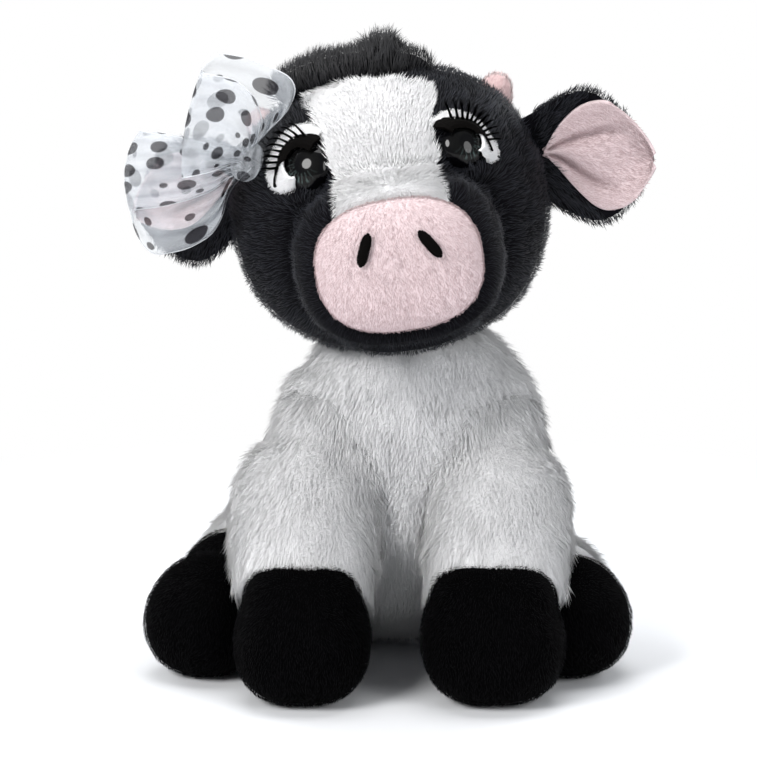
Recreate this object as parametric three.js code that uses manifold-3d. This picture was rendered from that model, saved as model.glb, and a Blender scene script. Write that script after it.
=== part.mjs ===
// Plush cow, sitting, with a bow at one ear.
// Millimetres, +Z up, the face looks along -Y, and the origin lies on the floor under the middle of the seat.
// Left and right are the viewer's, so left is -X.
import * as THREE from "three";
import { mergeVertices } from "three/addons/utils/BufferGeometryUtils.js";
import Module from "manifold-3d";

const wasm = await Module();
wasm.setup();

// Clearances and fabrics
const seamGap = 0.3; // between sewn or seated neighbours
const jointGap = 0.9; // between surfaces that turn on each other
const stuffingGap = 3.2; // between the stuffing and what turns beside it
const floorCut = 0.5; // depth that the standing forms lose at the floor
const overrun = 5; // how far a cutter passes the face that it cuts
const longPile = 5; // fabric with its combed long pile
const shortPile = 3; // fabric with short pile

// Torso
const torsoWidth = 118;
const torsoDepth = 112;
const torsoHeight = 119;
const pouchWidth = 74;
const pouchHeight = 20;

// Neck
const neckRadius = 22;
const neckRise = 5; // neck centre above the torso's top
const neckForward = 7;

// Head
const headWidth = 127;
const headDepth = 104;
const headHeight = 108;
const headStandoff = 3; // head's lowest point above the torso's top
const headForward = 9; // head centre in front of the neck centre
const headAside = 1.6;
const headRoll = 8.7; // degrees, the crown leans to the left
const snoutWidth = 79;
const snoutDepth = 68;
const snoutHeight = 66;
const blazeWidth = 46;

// Muzzle pad and nostrils
const padWidth = 62;
const padHeight = 49;
const padDepth = 25;
const padBack = 10; // flat face of the snout behind its round front
const nostrilWidth = 5.6;
const nostrilLength = 13.8;
const nostrilDepth = 2.6;
const nostrilSpread = 24.5;
const nostrilSplay = 27; // degrees

// Eyes, patches and lashes
const eyeWidth = 22;
const eyeDepth = 12;
const eyeSink = 1;
const stemRadius = 2.2;
const stemLength = 14;
const washerWidth = 17;
const washerThickness = 1.8;
const patchWidth = 36;
const patchHeight = 28;
const patchThickness = 1;
const lashCount = 10;
const lashLength = 5.5;
const lashWidth = 0.9;
const lashStripWidth = 1.6;
const lashStripThickness = 1.1;

// Ears and horns
const earLength = 43;
const earHeight = 57;
const earThickness = 5;
const earCup = 7;
const earRootRadius = 7.5;
const earDroop = 6; // degrees
const liningThickness = 2.4;
const liningMargin = 5;
const hornLength = 20;
const hornWidth = 16;
const hornSocket = 4;

// Forelock
const forelockWidth = 56;
const forelockHeight = 17;
const forelockDepth = 17;

// Bow
const ribbonWidth = 47;
const ribbonThickness = 0.9;
const upperLoopLength = 41;
const lowerLoopLength = 46;
const loopBulgeDepth = 8;
const knotWidth = 13;
const knotHeight = 17;
const knotDepth = 12;

// Front legs
const shoulderRadius = 24;
const frontLegWidth = 56;
const frontLegDepth = 47;
const hoofWidth = 53;
const hoofLength = 55;
const hoofHeight = 51;
const hoofForward = 58; // hoof centre in front of the shoulder

// Hind legs
const hipRadius = 26;
const hindLegWidth = 50;
const footReach = 58; // foot centre from the hip
const footWidth = 45;
const footLength = 50;
const footHeight = 46;
const hindTurnLeft = 27; // degrees outward from straight ahead
const hindTurnRight = 25;

// Tail
const tailRootRadius = 7;
const tailWidth = 9;
const tailLength = 52;
const tuftWidth = 16;
const tuftLength = 27;

// How square the forms' sections are: 2 is round
const squarenessShares = {
  torso: 2.15,
  head: 2.25,
  snout: 2.4,
  pad: 2.5,
  patch: 2.2,
  ear: 2.3,
  frontLeg: 2.2,
  hoof: 2.5,
  hindLeg: 2.1,
  foot: 2.35,
  pouch: 2.4,
  knot: 2.2,
};

// Colours
const fabric = (name, color) => {
  const m = new THREE.MeshStandardMaterial({ color, roughness: 0.9, metalness: 0 });
  m.name = name;
  return m;
};
const white = fabric("white_pile", 0xf1f2f4);
const black = fabric("black_pile", 0x15171b);
const bootBlack = fabric("black_plush", 0x131316);
const pink = fabric("pink_plush", 0xf0b9b8);
const hornPink = fabric("horn_pink", 0xf2cfca);
const stuffing = fabric("fibre_stuffing", 0xe9e6de);
const organza = fabric("organza", 0xdfe3ea);
const thread = fabric("black_thread", 0x1a1517);
const pouchCloth = fabric("pouch_cloth", 0xd9d2c4);
const lashFibre = new THREE.MeshStandardMaterial({ name: "lash_fibre", color: 0x1c1512, roughness: 0.6, metalness: 0 });
const eyePlastic = new THREE.MeshStandardMaterial({ name: "eye_plastic", color: 0x0c0d0e, roughness: 0.12, metalness: 0 });
const washerPlastic = new THREE.MeshStandardMaterial({ name: "washer_plastic", color: 0xe4e4e0, roughness: 0.5, metalness: 0 });

// A closed geometry as a solid, and back.
function solidOf(geometry) {
  const bare = geometry.clone();
  bare.deleteAttribute("normal");
  bare.deleteAttribute("uv");
  const merged = mergeVertices(bare);
  return new wasm.Manifold(
    new wasm.Mesh({
      numProp: 3,
      vertProperties: new Float32Array(merged.attributes.position.array),
      triVerts: new Uint32Array(merged.index.array),
    }),
  );
}
function geometryOf(solid) {
  const mesh = solid.getMesh();
  const g = new THREE.BufferGeometry();
  g.setAttribute("position", new THREE.BufferAttribute(new Float32Array(mesh.vertProperties), mesh.numProp));
  g.setIndex(new THREE.BufferAttribute(new Uint32Array(mesh.triVerts), 1));
  const flat = g.toNonIndexed();
  flat.computeVertexNormals();
  return flat;
}

const radians = THREE.MathUtils.degToRad;
const place = (x, y, z) => new THREE.Matrix4().makeTranslation(x, y, z);
const turn = (x, y, z) => new THREE.Matrix4().makeRotationFromEuler(new THREE.Euler(x, y, z));

// A puffed closed form: a ball whose cross sections are rounder (2) or squarer (more), with its poles on Z.
function puff(halves, squareness, columns, rows, matrix = new THREE.Matrix4()) {
  const g = new THREE.SphereGeometry(1, columns, rows).rotateX(Math.PI / 2);
  const p = g.attributes.position;
  for (let i = 0; i < p.count; i++) {
    const d = [p.getX(i), p.getY(i), p.getZ(i)];
    const r = d.reduce((sum, c) => sum + Math.abs(c) ** squareness, 0) ** (-1 / squareness);
    p.setXYZ(i, d[0] * r * halves[0], d[1] * r * halves[1], d[2] * r * halves[2]);
  }
  return solidOf(g.applyMatrix4(matrix));
}

// A skin through rings: each ring is { at, u, v, a, b }, with half widths a and b along u and v, and u x v runs from the first ring to the last.
function loft(rings, columns, squareness = 2) {
  const points = [];
  const faces = [];
  for (const ring of rings)
    for (let j = 0; j < columns; j++) {
      const c = Math.cos((2 * Math.PI * j) / columns);
      const s = Math.sin((2 * Math.PI * j) / columns);
      const r = (Math.abs(c) ** squareness + Math.abs(s) ** squareness) ** (-1 / squareness);
      points.push(ring.at.clone().addScaledVector(ring.u, ring.a * r * c).addScaledVector(ring.v, ring.b * r * s));
    }
  const first = points.push(rings[0].at.clone()) - 1;
  const last = points.push(rings.at(-1).at.clone()) - 1;
  const top = (rings.length - 1) * columns;
  for (let j = 0; j < columns; j++) {
    const k = (j + 1) % columns;
    faces.push(first, k, j, last, top + j, top + k);
    for (let i = 0; i < top; i += columns) faces.push(i + j, i + k, i + columns + k, i + j, i + columns + k, i + columns + j);
  }
  const g = new THREE.BufferGeometry().setFromPoints(points);
  g.setIndex(faces);
  return solidOf(g);
}

// A cloth of even thickness on a grid of points.
function cloth(pointAt, rows, columns, thickness) {
  const at = (i, j) => pointAt(i / rows, j / columns);
  const points = [];
  const faces = [];
  for (const side of [1, -1])
    for (let i = 0; i <= rows; i++)
      for (let j = 0; j <= columns; j++) {
        const along = at(Math.min(i + 1, rows), j).sub(at(Math.max(i - 1, 0), j));
        const across = at(i, Math.min(j + 1, columns)).sub(at(i, Math.max(j - 1, 0)));
        const normal = along.cross(across).normalize();
        points.push(at(i, j).addScaledVector(normal, (side * thickness) / 2));
      }
  const n = columns + 1;
  const under = (rows + 1) * n;
  const quad = (a, b, c, d) => faces.push(a, b, c, a, c, d);
  for (let i = 0; i < rows; i++)
    for (let j = 0; j < columns; j++) {
      const a = i * n + j;
      quad(a, a + n, a + n + 1, a + 1);
      quad(under + a, under + a + 1, under + a + n + 1, under + a + n);
    }
  for (let i = 0; i < rows; i++) {
    quad(i * n, under + i * n, under + (i + 1) * n, (i + 1) * n);
    quad(i * n + columns, (i + 1) * n + columns, under + (i + 1) * n + columns, under + i * n + columns);
  }
  for (let j = 0; j < columns; j++) {
    quad(j, j + 1, under + j + 1, under + j);
    quad(rows * n + j, under + rows * n + j, under + rows * n + j + 1, rows * n + j + 1);
  }
  const g = new THREE.BufferGeometry().setFromPoints(points);
  g.setIndex(faces);
  return solidOf(g);
}

const block = (width, depth, height, matrix) => solidOf(new THREE.BoxGeometry(width, depth, height).applyMatrix4(matrix));
const disc = (radius, height, sides, matrix) =>
  solidOf(new THREE.CylinderGeometry(radius, radius, height, sides).rotateX(Math.PI / 2).applyMatrix4(matrix));

// The joints' own groups, nested as the toy is sewn.
const cow = new THREE.Group();
const group = (parent, matrix) => {
  const g = new THREE.Group();
  matrix.decompose(g.position, g.quaternion, g.scale);
  parent.add(g);
  g.updateWorldMatrix(true, false);
  return g;
};
function piece(parent, name, worldSolid, material) {
  const g = geometryOf(worldSolid).applyMatrix4(parent.matrixWorld.clone().invert());
  const mesh = new THREE.Mesh(g, material);
  mesh.name = name;
  parent.add(mesh);
}
const X = new THREE.Vector3(1, 0, 0);
const Y = new THREE.Vector3(0, 1, 0);
const Z = new THREE.Vector3(0, 0, 1);

// Everything below the floor, which the standing forms lose.
const reach = torsoWidth + torsoHeight + headHeight;
const underFloor = block(reach * 2, reach * 2, reach, place(0, 0, -reach / 2));

// Torso: a pear that swells to the seat and slumps to the right at the top.
// Rings as shares of its height, half width, half depth, depth (the shift back) and half width (the shift aside).
const torsoRingShares = [
  [0, 0.6, 0.6, 0.035, 0],
  [0.06, 0.84, 0.84, 0.035, 0.01],
  [0.2, 1, 1, 0.035, 0.02],
  [0.42, 1, 0.97, 0.026, 0.04],
  [0.62, 0.93, 0.85, 0.005, 0.08],
  [0.8, 0.83, 0.71, -0.022, 0.13],
  [0.94, 0.73, 0.6, -0.05, 0.16],
  [1, 0.62, 0.5, -0.055, 0.165],
];
function torsoForm(grow, columns) {
  const rings = torsoRingShares.map(([h, w, d, back, aside], i) => ({
    at: new THREE.Vector3((aside * torsoWidth) / 2, back * torsoDepth, h * torsoHeight + (i === 0 ? -floorCut - grow : i === torsoRingShares.length - 1 ? grow : 0)),
    u: X,
    v: Y,
    a: (w * torsoWidth) / 2 + grow,
    b: (d * torsoDepth) / 2 + grow,
  }));
  return loft(rings, columns, squarenessShares.torso);
}

// Neck ball, which the torso's cup and the head's cup both turn on.
const neckAt = [0, -neckForward, torsoHeight + neckRise];
const neckBall = (grow, columns = 16, rows = 8) => puff([neckRadius + grow, neckRadius + grow, neckRadius + grow], 2, columns, rows, place(...neckAt));
const neckGroup = group(cow, place(...neckAt));

// Head: a broad rounded form and the snout that grows out of its front.
const headGroup = group(
  neckGroup,
  place(headAside, -headForward, headStandoff + headHeight / 2 - neckRise).multiply(turn(0, -radians(headRoll), 0)),
);
const inHead = (matrix) => headGroup.matrixWorld.clone().multiply(matrix);
const snoutCentreShares = [0, -0.44, -0.11]; // of the head's half width, depth and height
const snoutCentre = [0, snoutCentreShares[1] * headDepth, snoutCentreShares[2] * headHeight];
const headForm = (grow, columns, rows) =>
  puff([headWidth / 2 + grow, headDepth / 2 + grow, headHeight / 2 + grow], squarenessShares.head, columns, rows, inHead(new THREE.Matrix4())).add(
    puff([snoutWidth / 2 + grow, snoutDepth / 2 + grow, snoutHeight / 2 + grow], squarenessShares.snout, Math.round(columns * 0.75), rows, inHead(place(...snoutCentre))),
  );
// The depth of the head's front at a place on the face.
const faceDepth = (x, z) =>
  (-headDepth / 2) * Math.max(0, 1 - Math.abs((2 * x) / headWidth) ** squarenessShares.head - Math.abs((2 * z) / headHeight) ** squarenessShares.head) ** (1 / squarenessShares.head);

// Muzzle pad: a puffy squarish disc on the snout's flat front.
const padCentreShares = [0, 0, -0.085]; // of the head's height
const padFrontAt = snoutCentre[1] - snoutDepth / 2; // where the snout would end
const padPlane = padFrontAt + padBack;
const padRingShare = 0.33; // the pad's widest ring in front of its flat back, of padBack
const padCentre = [0, padPlane - padRingShare * padBack, padCentreShares[2] * headHeight];
const padHalves = (grow) => [padWidth / 2 + grow, padDepth / 2 + grow, padHeight / 2 + grow];
const padForm = (grow) => puff(padHalves(grow), squarenessShares.pad, 16, 8, inHead(place(...padCentre)));
const beforePlane = (grow) =>
  block(headWidth, snoutDepth, headHeight, inHead(place(0, padPlane + grow - snoutDepth / 2, padCentre[2])));

// Nostrils, embroidered into the pad.
const nostrilRiseShare = 0.17; // of the pad's height
function nostrilForm(side, grow) {
  const x = (side * nostrilSpread) / 2;
  const z = nostrilRiseShare * padHeight;
  const y = (-padDepth / 2) * (1 - Math.abs((2 * x) / padWidth) ** squarenessShares.pad - Math.abs((2 * z) / padHeight) ** squarenessShares.pad) ** (1 / squarenessShares.pad);
  return puff(
    [nostrilWidth / 2 + grow, nostrilDepth / 2 + grow, nostrilLength / 2 + grow],
    2,
    10,
    6,
    inHead(place(padCentre[0] + x, padCentre[1] + y, padCentre[2] + z).multiply(turn(0, -side * radians(nostrilSplay), 0))),
  );
}

// Eyes: a dome with a stem that a washer holds behind the fabric.
const eyePlaceShares = [0.455, 0.24]; // of the head's half width and height
const eyeTurn = [radians(-9), radians(13)]; // looking a little up and outward
function eyeFrame(side) {
  const x = (side * eyePlaceShares[0] * headWidth) / 2;
  const z = eyePlaceShares[1] * headHeight;
  const looks = turn(eyeTurn[0], 0, side * eyeTurn[1]);
  return inHead(place(x, faceDepth(x, z) + eyeSink, z).multiply(looks));
}
const eyeDome = (side, grow) => puff([eyeWidth / 2 + grow, eyeDepth / 2 + grow, eyeWidth / 2 + grow], 2, 14, 8, eyeFrame(side));
// The patch behind each eye: an oval of thin fabric on the face, drawn out to the upper inner corner.
const patchShiftShares = [0.06, 0.2]; // of the patch's width and height, inward and up from the eye
function patchForm(side) {
  const skin = headForm(seamGap + patchThickness, 16, 10).subtract(headForm(seamGap, 16, 10));
  const shift = place(-side * patchShiftShares[0] * patchWidth, 0, patchShiftShares[1] * patchHeight);
  return skin.intersect(puff([patchWidth / 2, eyeWidth, patchHeight / 2], squarenessShares.patch, 12, 6, eyeFrame(side).multiply(shift)));
}
// A strip round the eye's upper and outer rim, and the lashes that fan out of it.
const lashSpan = [radians(-20), radians(132)]; // from the outward direction
const lashLeanShare = 0.7; // forward for each step outward
const lashCurlShare = 0.2; // of the lash's length
// A lash's rings as shares of its length and width.
const lashRingShares = [
  [-0.1, 1],
  [1, 0.3],
];
function lashForm(side, grow) {
  const lashArc = side > 0 ? lashSpan : [Math.PI - lashSpan[1], Math.PI - lashSpan[0]];
  const steps = 6;
  const radius = eyeWidth / 2;
  const at = (a, r, y) => new THREE.Vector3(r * Math.cos(a), y, r * Math.sin(a));
  const rings = [];
  for (let i = 0; i <= steps; i++) {
    const a = lashArc[0] + ((lashArc[1] - lashArc[0]) * i) / steps;
    rings.push({ at: at(a, radius + seamGap + lashStripWidth / 2, 0), u: at(a, 1, 0), v: Y, a: lashStripWidth / 2 + grow, b: lashStripThickness / 2 + grow });
  }
  let form = loft(rings, 4, 4);
  for (let i = 0; i < lashCount; i++) {
    const a = lashArc[0] + ((lashArc[1] - lashArc[0]) * (i + 0.5)) / lashCount;
    const root = radius + seamGap + lashStripWidth / 2;
    const across = at(a + Math.PI / 2, 1, 0);
    const lean = at(a, 1, -lashLeanShare).normalize();
    const thick = lean.clone().cross(across).normalize();
    const base = at(a, root, 0);
    const hair = lashRingShares.map(([l, w]) => ({
      at: base.clone().addScaledVector(lean, l * lashLength).addScaledVector(thick, l * l * lashLength * lashCurlShare),
      u: across.clone().negate(),
      v: thick.clone().negate(),
      a: (w * lashWidth) / 2 + grow,
      b: (w * lashWidth) / 2 + grow,
    }));
    form = form.add(loft(hair, 3));
  }
  return form.transform(eyeFrame(side).toArray());
}
const backward = turn(Math.PI / 2, 0, 0);
const stemStartShare = 0.33; // of the eye's depth, in front of its middle
const eyeStem = (side, grow) =>
  disc(
    stemRadius + grow,
    stemLength + grow * 2,
    8,
    eyeFrame(side).multiply(place(0, stemLength / 2 - stemStartShare * eyeDepth, 0)).multiply(backward),
  );
const washerDepth = longPile + washerThickness + seamGap * 3; // behind the eye's rim
const washerForm = (side, grow) =>
  disc(washerWidth / 2 + grow, washerThickness + grow * 2, 12, eyeFrame(side).multiply(place(0, washerDepth, 0)).multiply(backward));

// Ears: a cupped leaf with a round root that turns in a groove of the head.
const earRootShares = { left: [0.95, 0.06, 0.17], right: [0.95, 0.06, 0.1] }; // of the head's half width, half depth and height
const earRootAt = (side) => {
  const [across, back, up] = side < 0 ? earRootShares.left : earRootShares.right;
  return [(side * across * headWidth) / 2, (back * headDepth) / 2, up * headHeight];
};
const earFrame = (side) =>
  inHead(place(...earRootAt(side))).multiply(turn(0, side * radians(earDroop), 0));
const fromHead = (matrix) => headGroup.matrixWorld.clone().invert().multiply(matrix);
const earGroups = { left: group(headGroup, fromHead(earFrame(-1))), right: group(headGroup, fromHead(earFrame(1))) };
// Outline of the leaf as shares of its length and half height, root first.
const earOutlineShares = [
  [0, 0.58],
  [0.22, 0.84],
  [0.45, 1],
  [0.66, 0.95],
  [0.82, 0.76],
  [0.93, 0.5],
  [1, 0.16],
];
const earCupAtRootShare = 0.35; // of the cup's full depth
const earTipThinShare = 0.32; // of the leaf's thickness
function earLeaf(side, length, halfHeight, from, front, back) {
  const points = [];
  const rings = earOutlineShares.map(([l, h]) => ({
    at: new THREE.Vector3(side * (from + l * (length - from)), (front + back) / 2, 0),
    u: side > 0 ? Y : Y.clone().negate(),
    v: Z,
    a: ((back - front) / 2) * Math.max(earTipThinShare, Math.sqrt(1 - l ** 4)),
    b: h * halfHeight,
  }));
  const leaf = loft(rings, 14, squarenessShares.ear);
  const mesh = leaf.getMesh();
  const g = new THREE.BufferGeometry();
  for (let i = 0; i < mesh.numVert; i++) {
    const [x, y, z] = mesh.vertProperties.subarray(i * 3, i * 3 + 3);
    const cupped = earCup * ((2 * z) / earHeight) ** 2 * Math.min(1, Math.abs(x) / earLength + earCupAtRootShare);
    points.push(new THREE.Vector3(x, y - cupped, z));
  }
  g.setFromPoints(points);
  g.setIndex(new THREE.BufferAttribute(new Uint32Array(mesh.triVerts), 1));
  return solidOf(g.applyMatrix4(earFrame(side)));
}
const earRootLengthShare = 0.62; // of the ear's height
const earRoot = (side, grow) => disc(earRootRadius + grow, earRootLengthShare * earHeight + grow * 2, 16, earFrame(side));

// Horns: rounded cones that lean outward, seated in the crown.
const hornRootShares = [0.6, 0.16, 0.31]; // of the head's half width, half depth and height
const hornLean = radians(30);
// A horn's rings as shares of its length and width.
const hornRingShares = [
  [-hornSocket / hornLength, 1],
  [0.25, 0.96],
  [0.5, 0.83],
  [0.72, 0.66],
  [0.88, 0.46],
  [0.97, 0.24],
];
function hornForm(side, grow) {
  const root = place((side * hornRootShares[0] * headWidth) / 2, (hornRootShares[1] * headDepth) / 2, hornRootShares[2] * headHeight);
  const frame = inHead(root.multiply(turn(0, side * hornLean, 0)));
  const rings = hornRingShares.map(([l, w]) => ({
    at: new THREE.Vector3(0, 0, l * hornLength + (l < 0 ? -grow : 0)),
    u: X,
    v: Y,
    a: (w * hornWidth) / 2 + grow,
    b: (w * hornWidth) / 2 + grow,
  }));
  return loft(rings, 12).transform(frame.toArray());
}

// Front legs: a shoulder ball, a tapering leg and a boot that stands on the floor.
const shoulderAsideShares = { left: -0.47, right: 0.68 }; // of the torso's half width
const shoulderShares = [-0.2, 0.7]; // of the torso's depth and height
const hoofAsideShares = { left: -0.56, right: 0.65 }; // of the torso's half width
const hoofTurns = { left: radians(-3.5), right: radians(4.5) };
const hoofCentreHeight = hoofHeight / 2 - floorCut;
const frontSwing = radians(32); // each leg is cut clear of the torso through this much swing
const hindSwing = radians(21);
const cuffShare = 0.8; // where the white casing ends, of the way to the hoof's or foot's centre
function frontLeg(sideName) {
  const shoulder = new THREE.Vector3((shoulderAsideShares[sideName] * torsoWidth) / 2, shoulderShares[0] * torsoDepth, shoulderShares[1] * torsoHeight);
  const hoof = new THREE.Vector3((hoofAsideShares[sideName] * torsoWidth) / 2, shoulder.y - hoofForward, hoofCentreHeight);
  const along = hoof.clone().sub(shoulder);
  const length = along.length();
  along.normalize();
  const across = X.clone().addScaledVector(along, -along.x).normalize();
  const forward = along.clone().cross(across).normalize();
  // Rings as shares of the way to the hoof's centre, half width and half depth.
  const ringShares = [
    [0.1, 0.78, 0.86],
    [0.3, 0.93, 0.97],
    [0.6, 1, 1],
    [0.95, 0.98, 0.95],
  ];
  const legForm = (grow, columns = 12) =>
    loft(
      ringShares.map(([l, w, d], i) => ({
        at: shoulder.clone().addScaledVector(along, l * length + (i === 0 ? -grow : i === ringShares.length - 1 ? grow : 0)),
        u: across,
        v: forward,
        a: (w * frontLegWidth) / 2 + grow,
        b: (d * frontLegDepth) / 2 + grow,
      })),
      columns,
      squarenessShares.frontLeg,
    );
  const ballHalf = (grow) => shoulderRadius + grow;
  const ball = (grow, columns = 14) =>
    puff([ballHalf(grow), ballHalf(grow), ballHalf(grow)], 2, columns, 6, place(...shoulder).multiply(turn(0, Math.PI / 2, 0)));
  const hoofFrame = place(...hoof).multiply(turn(0, 0, hoofTurns[sideName]));
  const endForm = (grow, columns = 14, rows = 8) =>
    puff([hoofWidth / 2 + grow, hoofLength / 2 + grow, hoofHeight / 2 + grow], squarenessShares.hoof, columns, rows, hoofFrame);
  // The half space beyond the cuff, starting `shift` past it.
  const beyondCuff = (shift) => {
    const basis = new THREE.Matrix4().makeBasis(across, forward, along);
    return block(reach, reach, reach, basis.setPosition(shoulder.clone().addScaledVector(along, cuffShare * length + shift + reach / 2)));
  };
  return { root: shoulder, legForm, endForm, beyondCuff, ball };
}

// Hind legs: a haunch ball at the hip, a short leg and a foot turned outward.
const hipShares = [0.76, 0.035, 0.245]; // of the torso's half width, depth and height
function hindLeg(sideName) {
  const side = sideName === "left" ? -1 : 1;
  const hip = new THREE.Vector3((side * hipShares[0] * torsoWidth) / 2, hipShares[1] * torsoDepth, hipShares[2] * torsoHeight);
  const heading = radians(side < 0 ? hindTurnLeft : hindTurnRight);
  const along = new THREE.Vector3(side * Math.sin(heading), -Math.cos(heading), 0);
  const across = new THREE.Vector3(along.y, -along.x, 0);
  const down = Z.clone().negate();
  const ringShares = [
    [0.02, 0.98, 0.98],
    [0.4, 1, 1],
    [0.95, 0.98, 0.98],
  ];
  const sink = hip.z - hindLegWidth / 2 + floorCut;
  const legForm = (grow, columns = 12) =>
    loft(
      ringShares.map(([l, w, h], i) => ({
        at: hip.clone().addScaledVector(down, l * sink).addScaledVector(along, l * footReach + (i === 0 ? -grow : i === ringShares.length - 1 ? grow : 0)),
        u: across,
        v: down,
        a: (w * hindLegWidth) / 2 + grow,
        b: (h * hindLegWidth) / 2 + grow,
      })),
      columns,
      squarenessShares.hindLeg,
    );
  const ball = (grow, columns = 14) => puff([hipRadius + grow, hipRadius + grow, hipRadius + grow], 2, columns, 6, place(...hip));
  const footAt = hip.clone().addScaledVector(along, footReach).setZ(footHeight / 2 - floorCut);
  const footFrame = new THREE.Matrix4().makeBasis(across, along, Z).setPosition(footAt);
  const endForm = (grow, columns = 14, rows = 8) =>
    puff([footWidth / 2 + grow, footLength / 2 + grow, footHeight / 2 + grow], squarenessShares.foot, columns, rows, footFrame);
  const beyondCuff = (shift) => {
    const basis = new THREE.Matrix4().makeBasis(across, down, along);
    return block(reach, reach, reach, basis.setPosition(hip.clone().addScaledVector(along, cuffShare * footReach + shift + reach / 2)));
  };
  return { root: hip, legForm, endForm, beyondCuff, ball };
}

const front = { left: frontLeg("left"), right: frontLeg("right") };
const hind = { left: hindLeg("left"), right: hindLeg("right") };

// Tail: a thin tube that droops from the seat's back to a tuft on the floor.
const tailRootShares = [0.52, 0.34]; // of the torso's depth and height
const tailRoot = new THREE.Vector3(0, tailRootShares[0] * torsoDepth, tailRootShares[1] * torsoHeight);
const tailBall = (grow) => puff([tailRootRadius + grow, tailRootRadius + grow, tailRootRadius + grow], 2, 12, 6, place(...tailRoot));
const tailReachShares = [0.42, 0.62]; // of the tail's length: where it turns down, and its end
const tailEnd = new THREE.Vector3(0, tailRoot.y + tailReachShares[1] * tailLength, tuftWidth / 2 - floorCut);
const tailBend = new THREE.Vector3(0, tailRoot.y + tailReachShares[0] * tailLength, tailRoot.z);
const tailPath = new THREE.QuadraticBezierCurve3(tailRoot, tailBend, tailEnd);

// Torso pieces
const sides = ["left", "right"];
let torsoCuts = neckBall(jointGap).add(tailBall(jointGap));
let stuffingCuts = neckBall(stuffingGap, 10, 6).add(tailBall(stuffingGap));
for (const s of sides) {
  torsoCuts = torsoCuts.add(front[s].ball(jointGap)).add(hind[s].ball(jointGap));
  stuffingCuts = stuffingCuts.add(front[s].ball(stuffingGap, 9)).add(hind[s].ball(stuffingGap, 9));
}
const torsoOuter = torsoForm(0, 16).subtract(underFloor);
const torsoGroup = group(cow, new THREE.Matrix4());
piece(torsoGroup, "torso_casing", torsoOuter.subtract(torsoForm(-longPile, 8)).subtract(torsoCuts), white);
const pouchForm = (grow) =>
  puff(
    [pouchWidth / 2 + grow, pouchWidth / 2 + grow, pouchHeight + grow],
    squarenessShares.pouch,
    12,
    6,
    place(0, torsoRingShares[0][3] * torsoDepth, longPile + seamGap),
  );
const aboveSeat = torsoForm(-longPile - seamGap, 8);
piece(torsoGroup, "torso_filling", aboveSeat.subtract(stuffingCuts).subtract(pouchForm(seamGap)), stuffing);
const pouchFloor = block(reach, reach, reach, place(0, 0, longPile + seamGap * 2 - reach / 2));
piece(torsoGroup, "seat_pouch", pouchForm(0).intersect(aboveSeat).subtract(pouchFloor).subtract(stuffingCuts), pouchCloth);

// Neck piece
piece(neckGroup, "neck_filling", neckBall(0), stuffing);

// Head pieces
let headCuts = neckBall(jointGap);
for (const side of [-1, 1]) headCuts = headCuts.add(earRoot(side, jointGap));
let faceCuts = beforePlane(0);
for (const side of [-1, 1]) faceCuts = faceCuts.add(eyeStem(side, seamGap)).add(hornForm(side, seamGap));
const headShell = headForm(0, 16, 10).subtract(headForm(-longPile, 8, 6)).subtract(headCuts).subtract(faceCuts);
const blazeReachShares = [0.04, 0.1]; // where the panel ends, as shares of the head's depth behind the crown and of its height above the middle
const blazeCentre = inHead(place(0, (blazeReachShares[0] - 0.5) * headDepth, (blazeReachShares[1] + 0.5) * headHeight));
const blazePanel = (grow) => block(blazeWidth + grow * 2, headDepth + grow * 2, headHeight + grow * 2, blazeCentre);
piece(headGroup, "head_casing", headShell.subtract(blazePanel(seamGap)), black);
const eyeCuts = eyeDome(-1, seamGap).add(eyeDome(1, seamGap));
piece(headGroup, "forehead_blaze", headShell.intersect(blazePanel(0)).subtract(eyeCuts), white);
let fillingCuts = neckBall(stuffingGap, 10, 6).add(beforePlane(longPile + seamGap)).add(earRoot(-1, stuffingGap)).add(earRoot(1, stuffingGap));
for (const side of [-1, 1]) fillingCuts = fillingCuts.add(eyeStem(side, seamGap)).add(washerForm(side, seamGap)).add(hornForm(side, seamGap));
const headInner = headForm(-longPile - seamGap, 8, 6);
piece(headGroup, "head_filling", headInner.subtract(fillingCuts), stuffing);

piece(headGroup, "muzzle_pad", padForm(0).intersect(beforePlane(-seamGap)).subtract(nostrilForm(-1, seamGap)).subtract(nostrilForm(1, seamGap)), pink);

const signs = { left: -1, right: 1 };
for (const s of sides) {
  const side = signs[s];
  piece(headGroup, "nostril_" + s, nostrilForm(side, 0), thread);

  // The eye rests on its patch, the lash strip lies behind the dome's rim, and the washer locks the stem inside.
  const overFabric = headForm(seamGap * 2 + patchThickness, 16, 10);
  const eye = eyeDome(side, 0).subtract(overFabric).add(eyeStem(side, 0));
  piece(headGroup, "eye_" + s, eye, eyePlastic);
  piece(headGroup, "eye_washer_" + s, washerForm(side, 0).intersect(headInner).subtract(eyeStem(side, seamGap)), washerPlastic);
  piece(headGroup, "eye_patch_" + s, patchForm(side).subtract(eyeStem(side, seamGap)).subtract(lashForm(side, seamGap)), white);
  piece(headGroup, "lashes_" + s, lashForm(side, 0), lashFibre);

  piece(headGroup, "horn_" + s, hornForm(side, 0), hornPink);
}

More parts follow.
